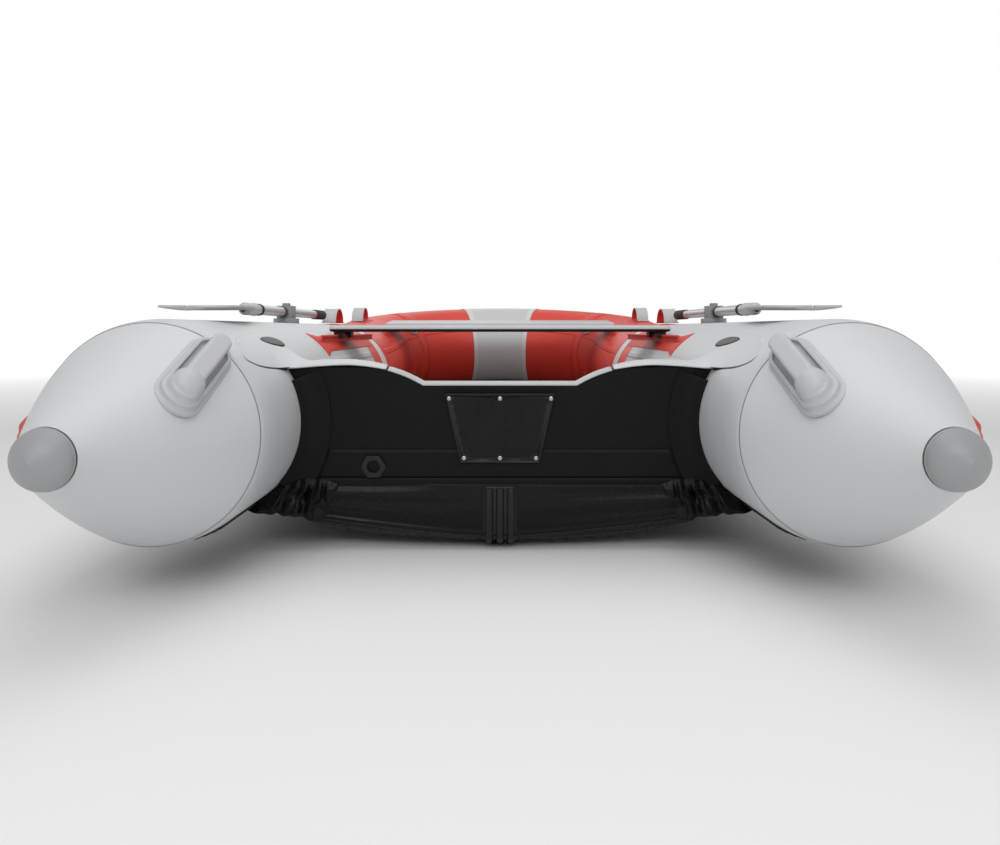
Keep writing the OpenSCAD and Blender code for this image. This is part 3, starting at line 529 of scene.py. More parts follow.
# ---------------------------------------------------------------- Bottom and keel
# A bottom of glossy black coated fabric hung between the tubes, drawn down by the inflated
# keel tube. A black tape closes its edge on each tube; three rubber ribs run on the keel.
black_fabric = surface("black_fabric", (.0035, .0036, .0038), (.006, .0062, .0065), 0.26,
                       spread=0.22, weave=(.0012, .00005), size=5,
                       specular=0.2)
black_rubber = surface("black_rubber", (.008, .008, .0085), (.013, .013, .0135), 0.5, grain=.0001,
                       specular=0.35)
skin_angle = 27
skin_t = 0.006
keel_z = 0.010
keel_rise_y = bow_start_y - 0.551
skin_start_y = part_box("bottom_skin")[0].y
edge_r = tube_r + 0.0003 + skin_t * cos(radians(skin_angle))
front_edge = around(0.5, edge_r, radians(-90 - skin_angle))


def keel_line(y):
    if y <= keel_rise_y:
        return keel_z
    share = min(1, (y - keel_rise_y) / (front_edge.y - keel_rise_y))
    return keel_z + (front_edge.z - keel_z) * share ** 2.2


side_share = 0.45                  # how much of the bottom's edge lies on the straight tube


def bottom_run(s):
    """Where share s of the bottom's edge lies along the tube, in the terms of around"""
    if s < side_share:
        return (skin_start_y - chamber_y) * (1 - s / side_share)
    return 0.485 * (s - side_share) / (1 - side_share)


def bottom_edge(s):
    """The port edge of the bottom, from the transom to just short of the bow's front"""
    return around(bottom_run(s), edge_r, radians(-90 - skin_angle))


def bottom_point(s, t, drop=0.0):
    edge = bottom_edge(s)
    across = 2 * t - 1
    keel = keel_line(edge.y)
    z = keel + (edge.z - keel) * abs(across) ** 1.8
    loose = (1 - abs(across)) * (1 - exp(-abs(across) * 9))
    ripple = 0.0022 * noise.noise(Vector((across * 2.2, edge.y * 7.5, 3.1))) * loose
    return Vector((across * abs(edge.x), edge.y, z + ripple - drop))


def above_bottom(p):
    return Vector((p.x, p.y, p.z + 1))


piece("bottom_sheet", wrapped(150, 60, bottom_point, (2.6, 1.1), above_bottom), black_fabric,
      "black_hull_fabric", replaces=["bottom_skin"], thick=0.0012)


def bottom_tape(s, t):
    return around(bottom_run(s), tube_r + 0.0018, radians(-94 - skin_angle + 14 * t))


pair("bottom_tape", wrapped(150, 8, bottom_tape, (2.6, .05), hull_middle), black_rubber,
     "black_rubber", thick=0.0012)


def eased(node_name, width, segments=2, least=30):
    """A CAD piece's shape with its sharp edges rounded over"""
    bm = bmesh.new()
    bm.from_mesh(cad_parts[node_name].data)
    bmesh.ops.remove_doubles(bm, verts=bm.verts, dist=2e-6)
    bmesh.ops.dissolve_limit(bm, angle_limit=radians(0.8), verts=bm.verts, edges=bm.edges)
    edges = [e for e in bm.edges
             if len(e.link_faces) == 2 and e.calc_face_angle(0) > radians(least)]
    bmesh.ops.bevel(bm, geom=edges, offset=width, affect="EDGES", segments=segments,
                    profile=0.5, material=-1, clamp_overlap=True)
    bmesh.ops.remove_doubles(bm, verts=bm.verts, dist=2e-6)
    return bm


def rounded_copy(node_name, width, material, slot, body="hull", segments=2):
    return piece(node_name + "_finished", eased(node_name, width, segments), material, slot,
                 body=body, replaces=[node_name])


def paint(node_name, material):
    """Gives a CAD piece that keeps its own mesh its finish"""
    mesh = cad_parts[node_name].data
    mesh.materials.clear()
    mesh.materials.append(material)


rounded_copy("keel_strip", 0.0025, black_rubber, "black_rubber")
paint("keel_tube", black_fabric)

# The ribs run on up the transom's foot, over the fabric that wraps it
rake = radians(8)
transom_y = -1.012                 # outer face of the board at its middle height
transom_mid_z = 0.25


def face_y(z, off=0.0):
    """The board's outer face at a height; off is how far aft of it"""
    return transom_y - (z - transom_mid_z) * sin(rake) / cos(rake) - off


wrap_top_z = 0.148                 # where the bottom's fabric ends on the board
wrap_half = 0.418


def welt_z(x):
    """Height of the board's foot, a shallow V that the fabric is drawn over"""
    return 0.035 + 0.047 * min(1, abs(x) / wrap_half) ** 1.3


def wrap_profile(x, t, off=0.0):
    """The fabric round the transom's foot: down its face, over the foot and forward"""
    foot = welt_z(x)
    z_end = keel_z + 0.0929 * min(1, abs(x) / 0.537) ** 1.8
    if t < 0.55:
        k = t / 0.55
        z = wrap_top_z + (foot - wrap_top_z) * k
        bulge = 0.006 * sin(pi * k) + off
        return Vector((x, face_y(z, 0.0035 + bulge), z))
    k = (t - 0.55) / 0.45
    y0, y1 = face_y(foot, 0.0035 + off), skin_start_y + 0.03
    sag = 0.020 * sin(pi * min(1, k * 1.15)) * (0.35 + 0.65 * min(1, abs(x) / 0.3))
    z = foot + (z_end - foot) * k ** 0.8 - sag - off
    return Vector((x, y0 + (y1 - y0) * k, max(0.0015, z)))


def keel_tail(offset):
    def place(s, t):
        side = (t - 0.5) * 0.016 + offset
        height = 0.0055 * sqrt(max(0, 1 - (2 * t - 1) ** 2))
        return wrap_profile(side, 0.04 + s * 0.86, 0.003 + height)
    return place


def foot_middle(p):
    return Vector((p.x, transom_y + 0.1, 0.12))


for i, offset in enumerate((-0.024, 0.0, 0.024)):
    piece(f"keel_tail_rib_{i + 1}", wrapped(40, 8, keel_tail(offset), (.2, .016), foot_middle),
          black_rubber, "black_rubber", thick=0.0005)
piece("keel_tail_base", wrapped(40, 6, lambda s, t: wrap_profile((t - .5) * .076, .02 + s * .9,
                                                                 0.0015),
                                (.2, .076), foot_middle),
      black_rubber, "black_rubber", thick=0.0014)

# ---------------------------------------------------------------- Transom
# A board of black coated plywood, glued in between the tubes with black gusset tapes, a
# tape across its lower part, and a pale plastic edging over the notch for the motor.
board_coat = surface("board_coat", (.0045, .0047, .005), (.007, .0072, .0076), 0.50,
                     spread=0.14, grain=.00012, size=6, specular=0.14)
pale_trim = surface("pale_trim", (.5, .51, .52), (.44, .45, .46), 0.35, size=8)
paint("transom_board", board_coat)
rounded_copy("transom_trim", 0.0012, pale_trim, "pale_trim")


def gusset(s, t):
    """A tape that lies on the tube and turns onto the board round a soft corner"""
    a = radians(157 + s * (222 - 157))
    k = t
    reach = 0.0012 + 0.060 * k
    stand = 0.020 * (1 - k) ** 3
    p = straight(0, tube_r + reach, a)
    return Vector((p.x, face_y(p.z, 0.0018 + stand), p.z))


pair("gusset_tape", wrapped(60, 14, gusset, (.5, .08),
                            lambda p: Vector((p.x, p.y + .1, p.z))),
     board_coat, "black_transom", thick=0.0011)


def cross_tape(z0, z1, half, off):
    def place(s, t):
        z = z0 + t * (z1 - z0)
        return Vector(((2 * s - 1) * half(z), face_y(z, off), z))
    return place


def ahead_of(p):
    return Vector((p.x, p.y + 0.1, p.z))


def tube_side(z):
    """Half the room between the tubes at a height"""
    return tube_x - sqrt(max(0, (tube_r + .058) ** 2 - (z - axis_z) ** 2))


piece("transom_tape", wrapped(60, 6, cross_tape(.160, .226, tube_side, .0006), (.8, .07),
                              ahead_of),
      board_coat, "black_transom", thick=0.0012)
piece("lower_tape", wrapped(60, 4, cross_tape(.142, .162, lambda z: .40, .0018), (.8, .02),
                            ahead_of),
      board_coat, "black_transom", thick=0.0014)


def foot_wrap(s, t):
    x = (2 * s - 1) * wrap_half
    folds = 0.0016 * noise.noise(Vector((x * 3.0, t * 9.0, 1.7)))
    pull = 0.0022 * sin(t * 26 + 1.5 * sin(x * 5)) * (1 - t) * min(1, abs(x) * 6)
    welt = 0.0035 * exp(-((t - 0.55) / 0.022) ** 2)
    return wrap_profile(x, t, folds + pull + welt)


piece("foot_wrap", wrapped(200, 90, foot_wrap, (.84, .2), foot_middle), black_fabric,
      "black_hull_fabric", thick=0.0010)


tuck = 0.84                        # below this share the folds turn in under the bottom


def corner_fold(s, t):
    """Spare fabric gathered in the corner between board, tube and bottom: s from its top
    down, t from the board to the tube"""
    down = min(1, s / tuck)
    board = Vector((-0.352, face_y(.150, .006), .150)).lerp(wrap_profile(-0.385, 0.56, 0.003), down)
    tube = straight(-0.990 - 0.030 * down, tube_r + .003, radians(-148 + 35 * down))
    p = board.lerp(tube, t)
    if s > tuck:                                       # its foot turns in under the bottom
        under = Vector((-0.36, skin_start_y + .02, .050)).lerp(bottom_edge(0.01), t)
        p = p.lerp(under, ((s - tuck) / (1 - tuck)) ** 1.2 * 0.9)
    envelope = sin(pi * t) ** 0.5 * min(1, s * 9) * min(1, (1 - s) * 6)
    fan = t * 3.3 + 0.7 * s + 0.25 * noise.noise(Vector((t * 4.0, s * 2.0, 8.2)))
    fold = sin(2 * pi * fan) + 0.7 * sin(2 * pi * (fan * 1.8 + s * 1.2))
    rough = noise.noise(Vector((s * 3.4, t * 6.5, 4.4))) * 2.0
    out = Vector((0.25, -0.85, -0.40)).normalized()
    return p + out * envelope * (0.0070 * (fold * 0.55 + rough) + 0.011)


corner = wrapped(110, 120, corner_fold, (.18, .18), lambda p: Vector((-.42, transom_y + .1, .25)))
for made in pair("corner_fold", corner, black_fabric, "black_hull_fabric", thick=0.0010,
                 sharp=75):
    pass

# ---------------------------------------------------------------- Aprons
# Pale tube fabric laid over each shoulder of the transom and glued down on the tube; its
# free edge stands off as a lip that runs aft along the tube to a point. A near-black strip
# on the tube under the lip is painted shadow.
# Near-black finish for the strip under the apron's lip: painted shadow
apron_shadow_paint = surface("apron_shadow_paint", (.02, .02, .021), (.03, .03, .031), 0.5,
                      weave=(.0012, .00006))
lip_line = [Vector(p) for p in (
    (-0.481, -1.245, 0.4375), (-0.473, -1.240, 0.4285), (-0.466, -1.215, 0.4195),
    (-0.460, -1.170, 0.4120), (-0.455, -1.100, 0.4065), (-0.440, -1.050, 0.4060),
    (-0.415, -1.043, 0.4080), (-0.385, -1.043, 0.4105), (-0.350, -1.043, 0.4125),
    (-0.320, -1.043, 0.4130), (-0.292, -1.042, 0.4110), (-0.266, -1.041, 0.4075),
    (-0.243, -1.040, 0.4035))]


def smooth_line(points, s):
    """A point at share s of a line drawn smoothly through the points"""
    n = len(points) - 1
    i = min(n - 1, int(s * n))
    k = s * n - i
    a, b = points[max(0, i - 1)], points[i]
    c, d = points[i + 1], points[min(n, i + 2)]
    return 0.5 * (2 * b + (c - a) * k + (2 * a - 5 * b + 4 * c - d) * k ** 2
                  + (3 * b - a - 3 * c + d) * k ** 3)


tail_share = 0.36                  # how much of the lip runs aft along the tube


def apron(s, t):
    """s along the lip from its point to the notch, t from the lip to the glued edge"""
    lip = smooth_line(lip_line, s)
    k = max(0.0, (s - tail_share) / (1 - tail_share))  # 0 on the tube, 1 beside the notch
    angle = atan2(lip.z - axis_z, -tube_x - lip.x)
    end_angle = radians(126 - 8 * min(1, s / tail_share))
    reach = 0.06 + 0.11 * min(1, s / tail_share) ** 2 - 0.115 * (1 - (1 - k) ** 0.35)
    stand = (lip - axis_point(lip)).length - tube_r
    on_tube = straight(lip.y + reach * t, tube_r + max(0.0008, stand * (1 - t) ** 2),
                       angle + (end_angle - angle) * t)
    if k == 0:
        return on_tube
    over = max(0.0, t - 0.45) / 0.55
    puff = 0.004 * sin(pi * min(1, t * 1.6)) + 0.006 * sin(pi * min(1, t * 1.3)) * (1 - k) ** 0.5
    top = Vector((lip.x, lip.y + reach * t, lip.z + puff - 0.03 * over ** 2 * min(1, k * 3)))
    room = (tube_r + .0008) ** 2 - (top.z - axis_z) ** 2
    top.x = max(top.x, -tube_x + sqrt(max(0.0, room)))
    return top.lerp(on_tube, max(0.0, 1 - k * 4.2) ** 1.5)


apron_bm = wrapped(150, 36, apron, (.45, .145), lambda p: Vector((p.x, p.y, p.z - .2)))
for made in pair("apron", apron_bm, grey_fabric, "grey_apron_fabric",
                 replaces=["transom_flap"], thick=-0.0035, sharp=60):
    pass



def apron_lip_shadow(s, t):
    """A near-black strip on the tube under the lip, from its point to the board: painted shadow"""
    lip = smooth_line(lip_line, 0.40 * s)
    stand = max(0.0, (lip - axis_point(lip)).length - tube_r)
    angle = atan2(lip.z - axis_z, -tube_x - lip.x)
    return straight(lip.y, tube_r + 0.0010 + stand * (1 - t), angle + 0.014 * t)


pair("apron_lip_shadow", wrapped(60, 4, apron_lip_shadow, (.2, .003), axis_point), apron_shadow_paint,
     "grey_apron_fabric")

# ---------------------------------------------------------------- Motor pads and drain
# Moulded pads of black plastic, inside and out, that the motor's clamps bite on: a raised
# rim round a field of fine square studs, held by six bright screws. Port of them sits the
# hexagonal drain with its screwed-in plug.
pad_plastic = surface("pad_plastic", (.007, .0072, .0075), (.011, .0112, .0116), 0.40,
                      spread=0.12, grain=.00008, size=12, specular=0.35)
steel = surface("steel", (.46, .47, .48), (.38, .39, .40), 0.30, metallic=1.0, size=30)
pad_t = 0.008


def motor_pad(node_name):
    """The drawn pad with only its long edges eased, so that the screws' recesses stay"""
    bm = bmesh.new()
    bm.from_mesh(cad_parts[node_name].data)
    bmesh.ops.remove_doubles(bm, verts=bm.verts, dist=2e-6)
    bmesh.ops.dissolve_limit(bm, angle_limit=radians(0.8), verts=bm.verts, edges=bm.edges)
    edges = [e for e in bm.edges if len(e.link_faces) == 2 and e.calc_face_angle(0) > .6
             and e.calc_length() > 0.05]
    bmesh.ops.bevel(bm, geom=edges, offset=0.0016, affect="EDGES", segments=2, profile=0.5,
                    material=-1, clamp_overlap=True)
    return bm


for name in ("outer_motor_pad", "inner_motor_pad"):
    piece(name + "_body", motor_pad(name), pad_plastic, "black_plastic", replaces=[name])


def on_face(x, z, off):
    return Vector((x, face_y(z, off), z))


pad_low, pad_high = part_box("outer_motor_pad")
pad_top, pad_foot = pad_high.z, pad_low.z
pad_half_top, pad_half_foot = pad_high.x, pad_high.x - 0.0315
rim_w, stud = 0.009, 0.0046


def pad_half(z):
    k = (z - pad_foot) / (pad_top - pad_foot)
    return pad_half_foot + (pad_half_top - pad_half_foot) * k


def stud_field():
    """Square studs on the pad's face, between its rims and clear of the screws"""
    bm = bmesh.new()
    rows = int((pad_top - pad_foot - 2 * rim_w) / stud)
    cols = int(2 * (pad_half_top - rim_w) / stud)
    bmesh.ops.create_grid(bm, x_segments=cols, y_segments=rows, size=0.5)
    bmesh.ops.scale(bm, vec=(cols * stud, rows * stud, 1), verts=bm.verts)
    middle = (pad_top + pad_foot) / 2
    spare = [f for f in bm.faces
             if abs(f.calc_center_median().x) > pad_half(middle + f.calc_center_median().y)
             - rim_w - stud / 2]
    bmesh.ops.delete(bm, geom=spare, context="FACES")
    screws = [(sx * h, sz) for sx in (-1, 0, 1)
              for h, sz in ((pad_half_top - .008, pad_top - .011 - middle),
                            (pad_half_foot - .008, pad_foot + .011 - middle))]
    near = [f for f in bm.faces if any(
        (f.calc_center_median().xy - Vector(p)).length < 0.0095 for p in screws)]
    bmesh.ops.delete(bm, geom=near, context="FACES")
    bmesh.ops.inset_individual(bm, faces=bm.faces[:], thickness=stud * 0.23, depth=0.0015)
    for v in bm.verts:
        v.co = on_face(v.co.x, middle + v.co.y, pad_t + 0.0002 + v.co.z)
    bm.normal_update()
    if sum(f.normal.y for f in bm.faces) > 0:
        bmesh.ops.reverse_faces(bm, faces=bm.faces)
    return bm


piece("pad_studs", stud_field(), pad_plastic, "black_plastic", sharp=25)


def pad_rim():
    """The rim: the pad's outline, inset and raised"""
    bm = bmesh.new()
    ring = [on_face(sx * pad_half(z), z, pad_t + .0003)
            for sx, z in ((-1, pad_top), (-1, pad_foot), (1, pad_foot), (1, pad_top))]
    face = bm.faces.new([bm.verts.new(p) for p in ring])
    bmesh.ops.inset_region(bm, faces=[face], thickness=0.0045, use_boundary=True,
                           use_even_offset=True)
    bmesh.ops.delete(bm, geom=[face], context="FACES_ONLY")
    walls = bmesh.ops.extrude_face_region(bm, geom=bm.faces[:])
    moved = [v for v in walls["geom"] if isinstance(v, bmesh.types.BMVert)]
    bmesh.ops.translate(bm, vec=(0, -0.0022 * cos(rake), -0.0022 * sin(rake)), verts=moved)
    bmesh.ops.recalc_face_normals(bm, faces=bm.faces)
    edges = [e for e in bm.edges if len(e.link_faces) == 2 and e.calc_face_angle(0) > .6]
    bmesh.ops.bevel(bm, geom=edges, offset=0.0009, affect="EDGES", segments=2, profile=0.5,
                    material=-1, clamp_overlap=True)
    return bm


piece("pad_rim", pad_rim(), pad_plastic, "black_plastic")
paint("motor_pad_screws", pad_plastic)


def screw_heads():
    """A small domed head on the outer end of each screw"""
    drawn = bmesh.new()
    drawn.from_mesh(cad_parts["motor_pad_screws"].data)
    bmesh.ops.remove_doubles(drawn, verts=drawn.verts, dist=2e-6)
    left, heads = set(drawn.verts), bmesh.new()
    while left:
        island, edge = set(), [left.pop()]
        while edge:
            v = edge.pop()
            island.add(v)
            near = {e.other_vert(v) for e in v.link_edges} & left
            left -= near
            edge += near
        aft = min(v.co.y for v in island)
        if aft > transom_y + 0.02:
            continue
        end = [v.co for v in island if v.co.y < aft + 0.0025]
        middle = sum(end, Vector()) / len(end)
        made = bmesh.ops.create_uvsphere(heads, u_segments=20, v_segments=12, radius=0.0050)
        bmesh.ops.scale(heads, vec=(1, 0.36, 1), verts=made["verts"])
        bmesh.ops.translate(heads, vec=(middle.x, aft + 0.0004, middle.z), verts=made["verts"])
    drawn.free()
    return heads


piece("screw_heads", screw_heads(), steel, "stainless")
rounded_copy("drain_flange", 0.0014, pad_plastic, "black_plastic", segments=3)
rounded_copy("drain_plug", 0.0012, pad_plastic, "black_plastic", body="plug")

# ---------------------------------------------------------------- Floor
# Four ribbed aluminium boards held end to end by H strips and along their sides by
# channels, with a black coated board that slopes up into the bow.
board_metal = surface("board_metal", (.56, .57, .58), (.48, .49, .5), 0.42, metallic=1.0,
                      ribs=((1, 0, 0), 0.012, .0006), size=5)
rail_metal = surface("rail_metal", (.50, .51, .52), (.42, .43, .44), 0.36, metallic=1.0,
                     size=14)
for name in ("aft_floor_board", "mid_aft_floor_board", "mid_fore_floor_board",
             "fore_floor_board"):
    rounded_copy(name, 0.0015, board_metal, "floor_aluminium")
for name in ("floor_joiners", "side_stringers"):
    rounded_copy(name, 0.0005, rail_metal, "floor_aluminium", segments=1)
rounded_copy("bow_board", 0.002, board_coat, "black_bow_board")

# ---------------------------------------------------------------- Seats and their rails
# Two painted planks slide on rails glued to the tubes: a red patch, forked at its after
# end, with a standing flap whose bead runs in black plastic clips under the plank.
seat_paint = surface("seat_paint", (.60, .61, .62), (.54, .55, .56), 0.36, size=7,
                     ribs=((0, 1, 0), 0.022, .0004))
red_rail = surface("red_rail", (.70, .05, .033), (.60, .042, .028), 0.5, weave=(.0012, .00006),
                   size=8)
for side in ("port_", "starboard_"):
    rounded_copy(side + "aft_rail", 0.0007, red_rail, "red_rail_fabric")
    rounded_copy(side + "fore_rail", 0.0007, red_rail, "red_rail_fabric")
for seat in ("aft_seat", "fore_seat"):
    plank = rounded_copy(seat + "_plank", 0.0085, seat_paint, "seat_paint", body=seat,
                         segments=3)
    # Faces that look down take the black plastic: painted shade under the plank, together with the
    # black trim on its lower edge
    plank.data.materials.append(pad_plastic)            # their lower edge and underside
    for polygon in plank.data.polygons:
        if polygon.normal.z < -0.25:
            polygon.material_index = 1
    rounded_copy(seat + "_clips", 0.0012, pad_plastic, "black_plastic", body=seat)

# ---------------------------------------------------------------- Rub strake
# A ribbed band of red rubber glued round the outside of the boat, from halfway along one
# stern cone round the bow to the other.
red_rubber = surface("red_rubber", (.62, .042, .028), (.54, .036, .024), 0.5, grain=.0001,
                     size=9)
strake_w, strake_t, strake_angle = 0.052, 0.009, 6


cone_share, leg_end = 0.10, 0.36   # shares of the strake's length: cone, then tube, then bow


def strake(s, t):
    a = radians(strake_angle)
    side = (2 * t - 1)
    r_here = tube_r
    height = (strake_t - .0005) * (1 - max(0, abs(side) - 0.72) / 0.28) ** 0.6
    height += 0.0009 * (cos(side * 3 * pi) - 1) * (abs(side) < 0.72)
    height *= min(1, s * 120)                           # its end is trimmed to a slope
    if s < cone_share:
        c = 0.6 * (1 - s / cone_share)
        angle = a + asin(strake_w / 2 / cone_radius(c)) * side
        return cone_point(c, angle, 0.0009 + height)
    if s < leg_end:
        k = (s - cone_share) / (leg_end - cone_share)
        y = seam_y + k * (chamber_y - seam_y)
        m = min(1, (y - seam_y) / shoulder)
        r_here = tube_r - (tube_r - seam_r) * (1 - m) ** 2
        return straight(y, r_here + 0.0009 + height, a + asin(strake_w / 2 / r_here) * side)
    u = (s - leg_end) / (1 - leg_end) * 0.5
    return around(u, tube_r + 0.0009 + height, a + asin(strake_w / 2 / tube_r) * side)


pair("strake", wrapped(260, 24, strake, (2.9, .06), hull_middle), red_rubber, "red_rubber",
     replaces=[])
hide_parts("rub_strake")

# ---------------------------------------------------------------- Stern handles
# Moulded rubber grips glued on the cones: an oval base, a bar raised over a hollow for the
# fingers, and a round knob at the after end that doubles as a towing post.
handle_rubber = surface("handle_rubber", (.52, .525, .535), (.46, .465, .475), 0.44,
                        grain=.00008, size=10)
handle_around, handle_t = radians(47), 0.305
cone_slope = atan((cone_radius(0.05) - cone_radius(0.56))
                  / (0.51 * (seam_y - cone_end_y)))
handle_seat = cone_point(handle_t, pi / 2 + handle_around, 0.0003)
handle_place = (Matrix.Translation(handle_seat) @ Matrix.Rotation(handle_around, 4, "Y")
                @ Matrix.Rotation(cone_slope, 4, "X") @ Matrix.Rotation(radians(-73), 4, "Z"))


def stadium(bm, length, width, z, shift=0.0, steps=20):
    """The flat outline of a plate with round ends"""
    ring = set(bmesh.ops.create_circle(bm, cap_ends=True, segments=2 * steps,
                                       radius=width / 2)["verts"])
    for v in ring:
        v.co.x += (length - width) / 2 * (1 if v.co.x > 1e-6 else -1 if v.co.x < -1e-6 else 0)
        v.co.x += shift
        v.co.z = z
    return [f for f in bm.faces if ring.issuperset(f.verts)]


def raise_up(bm, faces, height):
    """Thickens flat faces upwards and gives the upper vertices"""
    up = bmesh.ops.extrude_face_region(bm, geom=faces)
    top = [v for v in up["geom"] if isinstance(v, bmesh.types.BMVert)]
    bmesh.ops.translate(bm, vec=(0, 0, height), verts=top)
    return top


def oval(bm, length, width, low_z, high_z, ease, shift=0.0):
    """A plate with round ends, its upper edge eased"""
    top = raise_up(bm, stadium(bm, length, width, low_z, shift), high_z - low_z)
    edges = [e for e in bm.edges if all(v in top for v in e.verts)]
    bmesh.ops.bevel(bm, geom=edges, offset=ease, affect="EDGES", segments=3, profile=0.5,
                    material=-1)


def rim(bm, length, width, wall, low_z, high_z):
    """A raised wall round the edge of a plate with round ends"""
    face = stadium(bm, length, width, low_z)
    walls = bmesh.ops.inset_region(bm, faces=face, thickness=wall, use_boundary=True,
                                   use_even_offset=True)
    bmesh.ops.delete(bm, geom=face, context="FACES")
    raise_up(bm, walls["faces"], high_z - low_z)


def ball(bm, x, z, r, flat=1.0):
    made = bmesh.ops.create_uvsphere(bm, u_segments=32, v_segments=20, radius=r)
    for v in made["verts"]:
        v.co = Vector((v.co.x + x, v.co.y, v.co.z * flat + z))


def settled_on_cone(v):
    """Bends the base's foot down onto the cone's curve"""
    r = cone_radius(handle_t)
    return -(v.y ** 2) / (2 * r) * 0.9


def joined_rubber(name, shape, voxel):
    """One moulding out of overlapping shapes: skinned over and smoothed"""
    bm = bmesh.new()
    shape(bm)
    bmesh.ops.recalc_face_normals(bm, faces=bm.faces)
    mesh = bpy.data.meshes.new(name)
    bm.to_mesh(mesh)
    bm.free()
    made = bpy.data.objects.new(name, mesh)
    bpy.context.scene.collection.objects.link(made)
    skin = made.modifiers.new("skin", "REMESH")
    skin.mode, skin.voxel_size = "VOXEL", voxel
    soft = made.modifiers.new("soft", "SMOOTH")
    soft.iterations, soft.factor = 5, 0.5
    bpy.context.view_layer.update()
    baked = bpy.data.meshes.new_from_object(
        made.evaluated_get(bpy.context.evaluated_depsgraph_get()))
    bpy.data.objects.remove(made)
    out = bmesh.new()
    out.from_mesh(baked)
    return out


def handle_parts(bm):
    oval(bm, .200, .084, -.006, .0040, .0012)                    # thin glued flange
    oval(bm, .186, .070, -.004, .0060, .0015)                    # floor of the pan
    rim(bm, .186, .070, .0080, .003, .0150)                      # and its raised rim
    oval(bm, .136, .036, .0300, .0445, .006, shift=-.012)        # bar
    oval(bm, .034, .034, .000, .0430, .006, shift=-.066)         # fore post
    ball(bm, .054, .0265, .0270, 0.78)                           # knob
    made = bmesh.ops.create_cone(bm, cap_ends=True, segments=32, radius1=.031, radius2=.0265,
                                 depth=.028)
    bmesh.ops.translate(bm, vec=(.058, 0, .014), verts=made["verts"])


grip = joined_rubber("grip_shape", handle_parts, 0.0016)
for v in grip.verts:
    sink = settled_on_cone(v.co) if v.co.z < 0.012 else settled_on_cone(v.co) * max(
        0.0, 1 - (v.co.z - 0.012) / 0.02)
    v.co = handle_place @ Vector((v.co.x, v.co.y, v.co.z + sink))
pair("stern_grip", grip, handle_rubber, "handle_rubber", replaces=["stern_handle"])

# ---------------------------------------------------------------- Strap handles
# Grey webbing bowed up in a loop over a red patch, its feet stitched and glued down. The
# webbing's underside is faced with red.
webbing = surface("webbing", (.62, .63, .64), (.52, .53, .54), 0.66, weave=(.003, .0005))
strap_w, strap_span, strap_h, strap_foot = 0.050, 0.130, 0.058, 0.024


def strap_place(y0):
    """Frame on the tube's top at a place along the boat"""
    slope = atan((rise(y0 + .01) - rise(y0 - .01)) / .02)
    return (Matrix.Translation((-tube_x, y0, axis_z + rise(y0)))
            @ Matrix.Rotation(slope, 4, "X"))


def strap_loop(s, t):
    """Foot, arch, foot along Y, with the webbing's edges slightly cupped"""
    across = (t - 0.5) * strap_w
    base = tube_r + 0.0045
    cup = 0.0012 * (2 * t - 1) ** 2
    flat = 0.14
    if s < flat or s > 1 - flat:
        k = s / flat if s < flat else (1 - s) / flat
        y = strap_span / 2 + strap_foot * (1 - k)
        return Vector((across, y if s > 0.5 else -y, base + 0.001))
    a = pi * (s - flat) / (1 - 2 * flat)
    return Vector((across, -strap_span / 2 * cos(a) * (1 - .06 * sin(a)),
                   base + (strap_h - .006) * sin(a) ** 0.8 + cup))


def strap_patch(s, t):
    y = (s - 0.5) * (strap_span + 2 * strap_foot + .010)
    a = pi / 2 - (t - 0.5) * (strap_w + .036) / tube_r
    return Vector((-(tube_r + .0016) * cos(a), y, (tube_r + .0016) * sin(a)))


for label, y0 in (("aft_strap", chamber_y - 0.050), ("fore_strap", bow_start_y - 0.116)):
    place = strap_place(y0)
    loop = wrapped(72, 10, strap_loop, (.22, .05), lambda p: Vector((p.x, 0, tube_r - .05)))
    patch = wrapped(16, 12, strap_patch, (.19, .09), lambda p: Vector((0, p.y, 0)))
    for bm in (loop, patch):
        bmesh.ops.transform(bm, matrix=place, verts=bm.verts)
    pair(label + "_loop", loop, webbing, "grey_webbing", replaces=[label], thick=0.0032,
         rim=red_rail, sharp=60)
    pair(label + "_patch", patch, red_rail, "red_rail_fabric", thick=0.0012)

# ---------------------------------------------------------------- Oars on their rowlocks
# Each oar lies along its tube: an anodised shaft through a collar on a rowlock pin, a
# black ribbed grip, and a moulded spoon blade with a spine.
lock_plastic = surface("lock_plastic", (.30, .305, .31), (.25, .255, .26), 0.42, size=12)
shaft_metal = surface("shaft_metal", (.60, .61, .62), (.54, .55, .56), 0.34, metallic=0.9,
                      size=16)
blade_plastic = surface("blade_plastic", (.52, .53, .54), (.46, .47, .48), 0.36, size=10)
grip_rubber = surface("grip_rubber", (.02, .02, .021), (.03, .03, .031), 0.6,
                      ribs=((0, 1, 0), .006, .0012))
for side in ("port_", "starboard_"):
    body = side + "oar"
    rounded_copy(side + "rowlock", 0.0015, lock_plastic, "grey_plastic")
    rounded_copy(side + "oar_collar", 0.0025, lock_plastic, "grey_plastic", body=body)
    paint(side + "oar_shaft", shaft_metal)
    rounded_copy(side + "oar_grip", 0.003, grip_rubber, "black_grip", body=body, segments=3)
blade_low, blade_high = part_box("port_oar_blade")
shaft_low, shaft_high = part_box("port_oar_shaft")
oar_x = (shaft_low.x + shaft_high.x) / 2
oar_z = (shaft_low.z + shaft_high.z) / 2
shaft_r = (shaft_high.x - shaft_low.x) / 2
blade_l, blade_w = 0.400, blade_high.x - blade_low.x
blade_root = blade_low.y + blade_l


def blade_half(t):
    body = 0.16 + 0.84 * sin(min(1, t * 1.5) * pi / 2) ** 1.5
    return blade_w / 2 * body * sqrt(max(0.0004, 1 - max(0, (t - 0.8) / 0.2) ** 3))


